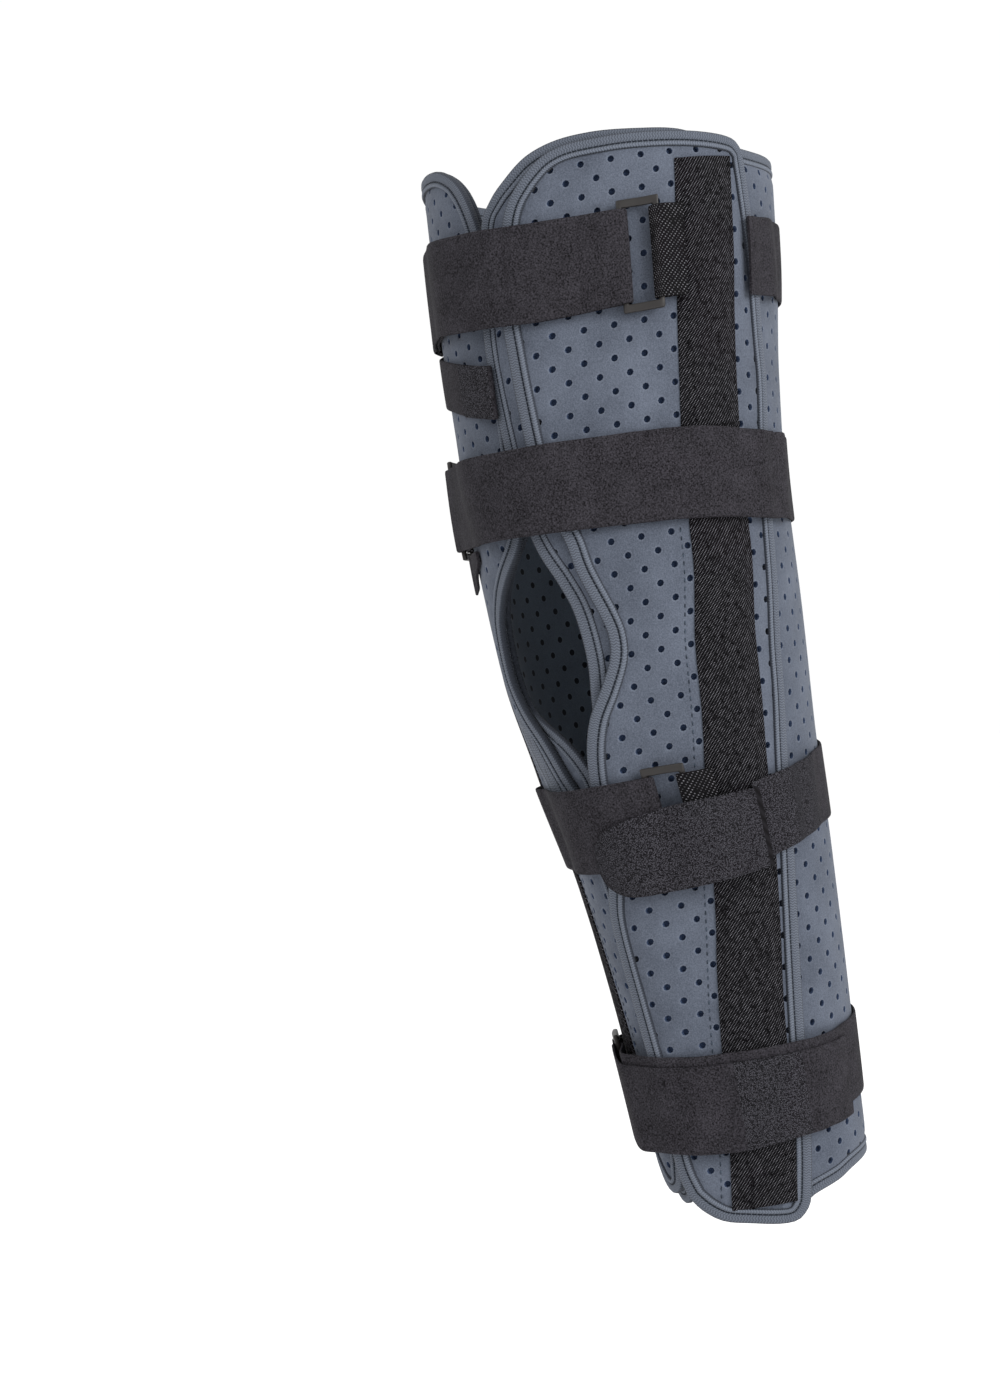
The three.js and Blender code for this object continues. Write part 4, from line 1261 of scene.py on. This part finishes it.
@dataclass
class Ribbon:
    """A flat cloth band bent along a path, with rounded edges and a slightly uneven cut."""

    name: str
    path: list[Step]
    thickness: float
    finishes: tuple[Finish, ...]
    seat: Callable[[float, float], float] = LEG.strap_seat
    wander: float = 0.35
    crown: float = 0.12
    lay: Callable[[float, float], int] | None = None

    ACROSS = (0.0, 0.008, 0.03, 0.12, 0.25, 0.38, 0.5, 0.62, 0.75, 0.88, 0.97, 0.992, 1.0)
    THIN = (0.25, 0.75, 1.0, 1.0, 1.0, 1.0, 1.0, 1.0, 1.0, 1.0, 1.0, 0.75, 0.25)
    WAVE = 24.0
    SPREAD = 7.3

    def _section(self) -> list[Place]:
        """The band's section, as share across and share of its thickness."""
        upper = [(a, thin / 2) for a, thin in zip(self.ACROSS, self.THIN)]
        lower = [(a, -thin / 2) for a, thin in zip(self.ACROSS, self.THIN)]
        return upper + lower[::-1]

    def _flat(self) -> list[tuple[float, float, float]]:
        """The path laid out flat: distance along, rise, and the radius there."""
        flat = []
        for step in self.path:
            middle = (step.top + step.bottom) / 2
            radius = LEG.radius(middle) + self.seat(step.angle, middle)
            flat.append((math.radians(step.angle) * radius, step.rise, radius))
        return flat

    def build(self) -> bpy.types.Object:
        """Bends a grid along the path and closes it.

        Returns:
            The band.
        """
        steps = len(self.path) - 1
        section = self._section()
        flat = self._flat()
        reach = [0.0]
        for a, b in zip(flat, flat[1:]):
            reach.append(reach[-1] + math.hypot(b[0] - a[0], b[1] - a[1]))
        self.length = reach[-1] * MM
        self.width = max(step.top - step.bottom for step in self.path) * MM
        bm, index = grid(steps, len(section))
        layer = bm.loops.layers.uv.new("UVMap")
        for face in bm.faces:
            share = 0.0
            for loop in face.loops:
                i, j = index[loop.vert]
                across, _ = section[j % len(section)]
                share += reach[i] / len(face.loops)
                loop[layer].uv = (reach[i] * MM, across * self.width)
            if self.lay:
                face.material_index = self.lay(share, reach[-1])
        for vert, (i, j) in index.items():
            across, thick = section[j % len(section)]
            vert.co = self._place(flat, reach, i, across, thick * self.thickness)
        close(bm)
        return finished(self.name, bm, self.finishes, sharp_deg=70.0)

    def _place(
        self, flat: list[tuple[float, float, float]], reach: list[float], i: int, across: float, half: float
    ) -> Vector:
        """Where a point of the band comes to lie.

        Args:
            flat: The path laid out flat.
            reach: The distance along the path at each step.
            i: The step.
            across: The share across the band from its lower edge.
            half: The height over the band's middle layer.

        Returns:
            The point in metres.
        """
        step = self.path[i]
        before, after = flat[max(i - 1, 0)], flat[min(i + 1, len(flat) - 1)]
        length = math.hypot(after[0] - before[0], after[1] - before[1])
        angle = math.degrees((flat[i][0] - half * (after[1] - before[1]) / length) / flat[i][2])
        rise = flat[i][1] + half * (after[0] - before[0]) / length
        edge = (across - 0.5) * 2
        spot = Vector((reach[i] / self.WAVE, self.SPREAD * edge, len(self.name)))
        drift = noise.noise(spot) * self.wander * abs(edge) ** 3
        z = mix(step.bottom, step.top, across) + drift
        return LEG.point(angle, z, self.seat(step.angle, z) + rise + self.crown * (1 - edge * edge))


def declare(ribbon: Ribbon, slot: Slot, held: Held, rests_on: Iterable[str], *nodes: str) -> bpy.types.Object:
    """Args:
        ribbon: The band.
        slot: Not used.
        held: Not used.
        rests_on: Not used.
        nodes: The nodes that it stands for.

    Returns:
        The band's object.
    """
    piece = settle(ribbon.build(), slot, *nodes)
    return piece


@dataclass
class LoopStrap:
    """A strap that runs to its ring, folds round the bar and comes back over itself."""

    node: str
    rows: Rows
    start: float
    fold: float
    end: float
    shift: float = 0.0
    hook_from: float | None = None
    hook_to: float = 0.0
    rests_on: tuple[str, ...] = ()

    def path(self) -> list[Step]:
        """The strap's path, from its sewn end to its free one."""
        band = Band(self.rows)
        direction = 1 if self.fold > self.start else -1
        return [
            *band.run(self.start, self.fold, UNDER),
            *band.fold(self.fold, direction, UNDER, FOLD_RADIUS),
            *(self.over(band, angle) for angle in sweep(self.fold, self.end, Band.ROUND_STEP)),
        ]

    def over(self, band: Band, angle: float) -> Step:
        """One step of the run that comes back from the ring over the strap."""
        settled = ease((band.distance(self.fold, angle) - RING_BAR) / SETTLE)
        return band.step(angle, mix(OVER_BAR, OVER_STRAP, settled), self.shift * settled)

    def build(self) -> list[bpy.types.Object]:
        """Makes the strap."""
        hook = self.hook_from

        def lay(at: float, whole: float) -> int:
            """The hook face near the strap's free end."""
            return int(hook is not None and self.hook_to <= whole - at < hook)

        ribbon = Ribbon(f"{self.node}_band", self.path(), STRAP_THICKNESS, (LOOP_CLOTH, HOOK_FACE), lay=lay)
        return [declare(ribbon, Slot.STRAP, Held.FOLDED, self.rests_on, self.node)]


@dataclass
class WrappedStrap(LoopStrap):
    """The strap below the knee: sewn round its ring's bar, and once round the leg."""

    def over(self, band: Band, angle: float) -> Step:
        """One step of the run over the sewn end, and down on the panels past it."""
        step = super().over(band, angle)
        past = ease((band.distance(self.start, angle) - FIT) / SETTLE) if angle < self.start else 0.0
        return replace(step, rise=mix(step.rise, UNDER, past))


@dataclass
class RingSet:
    """A plastic ring, and the mesh webbing that holds it to the panel."""

    name: str
    rows: Rows
    fold: float
    direction: int
    bevel: float = 0.85

    UNDER_STEPS = 4
    OVER_STEPS = 8

    def __post_init__(self) -> None:
        """Works out where the ring lies."""
        top, bottom = Band(self.rows).edges(self.fold)
        self.middle = (top + bottom) / 2
        self.step = math.degrees(1 / (LEG.radius(self.middle) + PANEL_SEAT))
        self.half = (top - bottom) / 2
        self.near = RING_WIDTH / 2 - RING_BAR / 2 - BAR_BACK

    def ring(self) -> bpy.types.Object:
        """The ring: a pierced plate with its edges rounded, bent to the leg."""
        in_x = RING_WIDTH / 2 - RING_BAR
        in_y = self.half + RING_PLAY
        across = (-RING_WIDTH / 2, -in_x, -in_x / 3, in_x / 3, in_x, RING_WIDTH / 2)
        up = (-in_y - RING_END, -in_y, -in_y / 3, in_y / 3, in_y, in_y + RING_END)
        bm, index = grid(len(across) - 1, len(up) - 1)
        for vert, (i, j) in index.items():
            vert.co = Vector((across[i], up[j], 0))
        inside = [
            face
            for face in bm.faces
            if abs(face.calc_center_median().x) < in_x and abs(face.calc_center_median().y) < in_y
        ]
        bmesh.ops.delete(bm, geom=inside, context="FACES")
        bmesh.ops.solidify(bm, geom=bm.faces[:], thickness=RING_BAR)
        base = min(vert.co.z for vert in bm.verts)
        for vert in bm.verts:
            vert.co.z -= base
        bmesh.ops.recalc_face_normals(bm, faces=bm.faces[:])
        corners = [edge for edge in bm.edges if edge.calc_face_angle(0) > 1.0]
        bmesh.ops.bevel(
            bm, geom=corners, offset=self.bevel, segments=3, profile=0.5, affect="EDGES", material=-1
        )
        centre = self.fold + self.direction * self.near * self.step
        for vert in bm.verts:
            x, y, rise = vert.co
            angle = centre + x * self.step
            z = self.middle + y
            vert.co = LEG.point(angle, z, LEG.strap_seat(angle, z) + BAR_BASE + rise)
        return finished(f"{self.name}_ring_moulding", bm, (RING_PLASTIC,), sharp_deg=40.0)

    def webbing(self) -> Ribbon:
        """The webbing round the ring's far bar."""
        far = self.fold + self.direction * 2 * self.near * self.step
        end = far + self.direction * WEBBING_LENGTH * self.step
        level = level_of(self.middle)
        width = (2 * self.half - RING_PLAY) / STRAP_WIDTH
        low = min(far, end) - 1
        band = Band(((low, level, width), (low + 1, level, width)))
        path = [
            *(band.step(angle, WEB_UNDER) for angle in sweep(end, far, abs(far - end) / self.UNDER_STEPS)),
            *band.fold(far, -self.direction, WEB_UNDER, WEB_FOLD_RADIUS),
        ]
        for i in range(self.OVER_STEPS + 1):
            share = i / self.OVER_STEPS
            path.append(band.step(mix(far, end, share), mix(WEB_OVER_BAR, WEB_OVER, ease(share))))
        return Ribbon(
            f"{self.name}_ring_loop", path, WEBBING_THICKNESS, (MESH_WEBBING,), wander=0.3, crown=0.0
        )

    def build(self, rests_on: str) -> list[bpy.types.Object]:
        """Makes the ring and its webbing.

        Args:
            rests_on: The node that the webbing is sewn to; not used.

        Returns:
            The ring and the webbing.
        """
        ring = settle(self.ring(), Slot.RING, f"{self.name}_ring")
        webbing = declare(
            self.webbing(), Slot.WEBBING, Held.FOLDED, (rests_on,), f"{self.name}_ring_webbing"
        )
        return [ring, webbing]


@dataclass
class HookTab:
    """The hook tab sewn on the end of the strap below the knee, with a round end."""

    start: float = 4.0
    round_end: float = 13.0
    before_ring: float = 4.0
    before_seam: float = 6.0
    near_run: float = 8.0
    near_step: float = 0.8
    far_step: float = 2.0
    # The dark stripe at the sewn end: the seam, and painted shadow of the step where the tab ends
    seam_and_shadow_width: float = 1.5

    def path(self) -> list[Step]:
        """The tab's path, from its round end over the ring to its seam."""
        band = Band(HOOK_TAB)
        seam = HOOK_TAB[-1][0]
        ring_end = BELOW_KNEE_FOLD + math.degrees(RING_WIDTH / LEG.radius(height_of(HOOK_TAB[1][1])))
        near = sweep(HOOK_TAB[0][0], HOOK_TAB[0][0] + self.near_run, self.near_step)
        steps = []
        for angle in [*near[:-1], *sweep(near[-1], seam, self.far_step)]:
            up = ease((angle - self.start) / (BELOW_KNEE_FOLD - self.before_ring - self.start))
            down = ease((angle - ring_end) / (seam - self.before_seam - ring_end))
            rise = mix(mix(TAB_OVER_STRAP, TAB_OVER_BAR, up), OVER_STRAP, down)
            top, bottom = band.edges(angle)
            cut = max(0.0, 1 - band.distance(HOOK_TAB[0][0], angle) / self.round_end)
            trim = self.round_end * (1 - math.sqrt(max(0.0, 1 - cut * cut)))
            steps.append(Step(angle, rise, top - trim, bottom + trim))
        return steps

    def build(self) -> list[bpy.types.Object]:
        """Makes the tab."""

        def lay(at: float, whole: float) -> int:
            """The seam at the tab's sewn end: a dark stripe that is also the painted shadow of the step
            there.
            """
            return int(at > whole - self.seam_and_shadow_width)

        ribbon = Ribbon(
            "below_knee_hook_tab_band", self.path(), STRAP_THICKNESS, (HOOK_FACE, STRAP_THREAD), lay=lay
        )
        piece = declare(ribbon, Slot.STRAP, Held.LAID, ("below_knee_strap_band",), "below_knee_hook_tab")
        return [piece]


@dataclass
class ClosingTab:
    """The short tab across the front edges above the knee, folded over at its end."""

    start: float = -57.0
    fold: float = 0.0
    end: float = -14.0
    hook_length: float = 24.0

    @staticmethod
    def seat(angle: float, z: float) -> float:
        """The height of the layers that the tab lies on."""
        del z
        return mix(PANEL_SEAT, OVERLAP_LIFT + FOAM + FIT, ease((angle + LIFT_RUN) / TAB_RUN))

    def build(self) -> list[bpy.types.Object]:
        """Makes the tab."""
        band = Band(CLOSING_TAB)
        path = [
            *band.run(self.start, self.fold, UNDER),
            *band.fold(self.fold, 1, UNDER, (OVER_STRAP - UNDER) / 2),
            *band.run(self.fold, self.end, OVER_STRAP),
        ]

        def lay(at: float, whole: float) -> int:
            """The hook face past the fold."""
            return int(at > whole - self.hook_length)

        ribbon = Ribbon(
            "closing_tab_band", path, STRAP_THICKNESS, (LOOP_CLOTH, HOOK_FACE), seat=self.seat, lay=lay
        )
        return [declare(ribbon, Slot.STRAP, Held.FOLDED, ("medial_panel_foam",), "closing_tab")]


@dataclass
class StrapTail:
    """The short tail below the strap above the knee, narrowing to its lower end."""

    left: float = -50.0
    right: float = -30.0
    top: float = 0.241
    bottom: float = 0.16
    narrowing: float = 0.7

    def build(self) -> list[bpy.types.Object]:
        """Makes the tail."""
        path = []
        for angle in sweep(self.left, self.right, 1.5):
            share = self.narrowing * (angle - self.left) / (self.right - self.left)
            path.append(Step(angle, UNDER, height_of(self.top), height_of(mix(self.bottom, self.top, share))))
        ribbon = Ribbon("above_knee_tail_cloth", path, STRAP_THICKNESS, (LOOP_CLOTH,))
        return [declare(ribbon, Slot.STRAP, Held.LAID, ("medial_panel_foam",), "above_knee_tail")]


@dataclass
class StayPocket:
    """A pocket of twill webbing sewn down a side panel over its stay."""

    side: Side
    bottom: float
    top: float
    step_mm: float = 4.0
    end_run: float = 14.0
    end_rise: float = 0.45
    seam_rise: float = 1.2
    wander: float = 0.4
    wave_mm: float = 30.0

    @property
    def node(self) -> str:
        """The node that the pocket stands for."""
        return f"{self.side.name.lower()}_stay_pocket"

    def place(self, across: float, z: float, offset: float) -> Vector:
        """A point at a distance across from the pocket's line, over the panel."""
        turn = LEG.pocket.at(level_of(z)) + math.degrees(across / (LEG.radius(z) + PANEL_OUT))
        angle = self.side.value * turn
        lift = LEG.overlap_lift(angle, z) if self.side is Side.LATERAL else 0.0
        return LEG.point(angle, z, PANEL_OUT + offset + lift)

    def build(self) -> list[bpy.types.Object]:
        """Makes the pocket: its section swept down the panel.

        Returns:
            The pocket and its stitches.
        """
        low, high = height_of(self.bottom), height_of(self.top)
        steps = round((high - low) / self.step_mm)
        section = POCKET_SECTION
        bm, index = grid(len(section), steps)
        layer = bm.loops.layers.uv.new("UVMap")
        for face in bm.faces:
            for loop in face.loops:
                i, j = index[loop.vert]
                share = section[i % len(section)][0]
                loop[layer].uv = (share * POCKET_WIDTH / 2 * MM, mix(low, high, j / steps) * MM)
        for vert, (i, j) in index.items():
            share, rise = section[i % len(section)]
            z = mix(low, high, j / steps)
            end = min(z - low, high - z)
            flat = mix(self.end_rise, 1.0, ease(end / self.end_run)) if rise > self.seam_rise else 1.0
            wander = self.wander * noise.noise(Vector((z / self.wave_mm, share, self.side.value)))
            vert.co = self.place(share * POCKET_WIDTH / 2 + wander, z, rise * flat)
        close(bm)
        cover = finished(f"{self.node}_webbing", bm, (POCKET_TWILL,), sharp_deg=60.0)
        pocket = settle(cover, Slot.POCKET, self.node)
        stitches = settle(self.stitches(low + STITCH_START, height_of(STITCH_TOP)), Slot.TAPE)
        return [pocket, stitches]

    def stitches(self, low: float, high: float) -> bpy.types.Object:
        """A row of stitches beside the pocket's front edge.

        Args:
            low: The height of the row's lower end.
            high: The height of its upper end.

        Returns:
            The stitches.
        """
        bm = bmesh.new()
        across = -POCKET_WIDTH / 2 - STITCH_GAP
        for z in sweep(low, high, STITCH_PITCH):
            spot = self.place(across, z, STITCH_RISE)
            along = (self.place(across, z + 1, STITCH_RISE) - spot).normalized()
            outward = (self.place(across, z, STITCH_RISE + 1) - spot).normalized()
            turn = Matrix((outward.cross(along), along, outward)).transposed().to_4x4()
            size = Matrix.Diagonal((*STITCH_SIZE, 1.0))
            bmesh.ops.create_icosphere(
                bm, subdivisions=1, radius=MM, matrix=Matrix.Translation(spot) @ turn @ size
            )
        return finished(f"{self.node}_stitches", bm, (SEAM_THREAD,), sharp_deg=80.0)


@dataclass(frozen=True)
class Camera:
    """The camera, level and rolled, at the photograph's angle."""

    focal_px: float = 2200.0
    frame: tuple[int, int] = (1000, 1400)
    azimuth_deg: float = 45.0
    roll_deg: float = 9.7
    distance_mm: float = 1190.0
    origin_px: Place = (680.0, 640.0)
    sensor_mm: float = 36.0

    def build(self) -> None:
        """Makes the camera and gives it to the scene."""
        turn, roll = math.radians(self.azimuth_deg), math.radians(self.roll_deg)
        view = Vector((-math.sin(turn), math.cos(turn), 0))
        level = Vector((math.cos(turn), math.sin(turn), 0))
        up = Vector((0, 0, 1))
        image_right = level * math.cos(roll) - up * math.sin(roll)
        image_up = up * math.cos(roll) + level * math.sin(roll)
        across = (self.origin_px[0] - self.frame[0] / 2) / self.focal_px
        rise = (self.frame[1] / 2 - self.origin_px[1]) / self.focal_px
        spot = -self.distance_mm * MM * (view + image_right * across + image_up * rise)
        data = bpy.data.cameras.new("camera")
        data.sensor_width = self.sensor_mm
        data.lens = self.focal_px / max(self.frame) * self.sensor_mm
        data.clip_start = 0.05
        made = bpy.data.objects.new("camera", data)
        facing = Matrix((image_right, image_up, -view)).transposed().to_4x4()
        made.matrix_world = Matrix.Translation(spot) @ facing
        bpy.context.scene.collection.objects.link(made)
        bpy.context.scene.camera = made


@dataclass(frozen=True)
class Studio:
    """A plain pale floor under soft white light."""

    floor_mm: float = -520.0
    floor_radius: float = 9.0
    sky: float = 1.02

    def lamp(self, name: str, spot: Vector, size: float, power: float) -> None:
        """Adds a square soft light that faces the part.

        Args:
            name: The light's name.
            spot: Where it stands.
            size: The length of its side in metres.
            power: Its power in watts.
        """
        data = bpy.data.lights.new(name, "AREA")
        data.size = size
        data.energy = power
        made = bpy.data.objects.new(name, data)
        made.location = spot
        made.rotation_euler = (-spot).to_track_quat("-Z", "Y").to_euler()
        bpy.context.scene.collection.objects.link(made)

    def build(self) -> None:
        """Makes the floor, the sky and the lamps."""
        bm = bmesh.new()
        bmesh.ops.create_circle(
            bm,
            cap_ends=True,
            segments=64,
            radius=self.floor_radius,
            matrix=Matrix.Translation((0, 0, self.floor_mm * MM)),
        )
        mesh = bpy.data.meshes.new("floor")
        bm.to_mesh(mesh)
        bm.free()
        paper = bpy.data.materials.new("matte_white_paper")
        paper.use_nodes = True
        paper.node_tree.nodes["Principled BSDF"].inputs["Base Color"].default_value = linear("ffffff")
        paper.node_tree.nodes["Principled BSDF"].inputs["Roughness"].default_value = 0.95
        mesh.materials.append(paper)
        floor = bpy.data.objects.new("floor", mesh)
        bpy.context.scene.collection.objects.link(floor)
        world = bpy.data.worlds.new("white_room")
        world.use_nodes = True
        sky = world.node_tree.nodes["Background"]
        sky.inputs["Color"].default_value = (1, 1, 1, 1)
        sky.inputs["Strength"].default_value = self.sky
        bpy.context.scene.world = world
        bpy.context.scene.view_settings.view_transform = "Standard"
        self.lamp("key", Vector((-0.25, -2.1, 1.3)), 1.4, 17)
        self.lamp("fill", Vector((2.2, 0.1, 0.7)), 1.2, 46)


def uncovered(angle: float, z: float, u: float) -> bool:
    """Whether the wrap shows at a place, outside the side panels."""
    del u
    for edges in (LATERAL_EDGES, MEDIAL_EDGES):
        low, high = sorted(column(rows, 0, 1).at(level_of(z)) for rows in (edges.front, edges.rear))
        if low + COVERED_RIM < angle < high - COVERED_RIM:
            return False
    return angle < COVERED_END


def beside_pocket(angle: float, z: float, u: float) -> bool:
    """Whether a place on a side panel is clear of its stay pocket and of the rim below the kneecap."""
    clear = abs(u) > POCKET_WIDTH / 2 - POCKET_RIM or z > height_of(POCKET_TOP)
    return clear and not at_rim(angle, z)


def build_part() -> None:
    """Builds every piece of the part, from the leg outwards."""
    pieces: list[bpy.types.Object] = []
    pieces += FoamPiece(
        "body_wrap", WRAP_EDGES, 0.0, 0.84, LEG.overlap_lift, lambda z: 180.0, uncovered
    ).build()
    pieces += FoamPiece(
        "lateral_panel",
        LATERAL_EDGES,
        PANEL_IN,
        1.0,
        LEG.overlap_lift,
        lambda z: LEG.pocket.at(level_of(z)),
        beside_pocket,
        ("body_wrap_foam",),
    ).build()
    pieces += FoamPiece(
        "medial_panel",
        MEDIAL_EDGES,
        PANEL_IN,
        1.0,
        lambda angle, z: 0.0,
        lambda z: 360 - LEG.pocket.at(level_of(z)),
        beside_pocket,
        ("body_wrap_foam",),
    ).build()
    pieces += StayPocket(Side.LATERAL, -0.962, 0.892).build()
    pieces += StayPocket(Side.MEDIAL, -0.755, 0.9).build()
    on_both = ("lateral_panel_foam", "medial_panel_foam")
    pieces += LoopStrap("top_strap", TOP_STRAP, 88, TOP_FOLD, 296, rests_on=on_both).build()
    pieces += LoopStrap(
        "above_knee_strap", ABOVE_KNEE_STRAP, 256, ABOVE_KNEE_FOLD, 96, rests_on=on_both
    ).build()
    pieces += WrappedStrap(
        "below_knee_strap", BELOW_KNEE_STRAP, 4, BELOW_KNEE_FOLD, -296, hook_from=70, rests_on=on_both
    ).build()
    pieces += LoopStrap("bottom_strap", BOTTOM_STRAP, 256, BOTTOM_FOLD, 97, -5, 60, 24, on_both).build()
    pieces += RingSet("top", TOP_STRAP, TOP_FOLD, 1).build("lateral_panel_foam")
    pieces += RingSet("above_knee", ABOVE_KNEE_STRAP, ABOVE_KNEE_FOLD, -1).build("medial_panel_foam")
    pieces += RingSet("below_knee", BELOW_KNEE_STRAP, BELOW_KNEE_FOLD, 1).build("lateral_panel_foam")
    pieces += RingSet("bottom", BOTTOM_STRAP, BOTTOM_FOLD, -1).build("medial_panel_foam")
    pieces += HookTab().build()
    pieces += ClosingTab().build()
    pieces += StrapTail().build()
    log.info("%d pieces", len(pieces))


def main() -> None:
    """Loads the frame and dresses the part, with its camera and studio."""
    logging.basicConfig(level=logging.INFO, format="%(message)s")
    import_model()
    Camera().build()
    build_part()
    Studio().build()


if __name__ == "__main__":
    main()
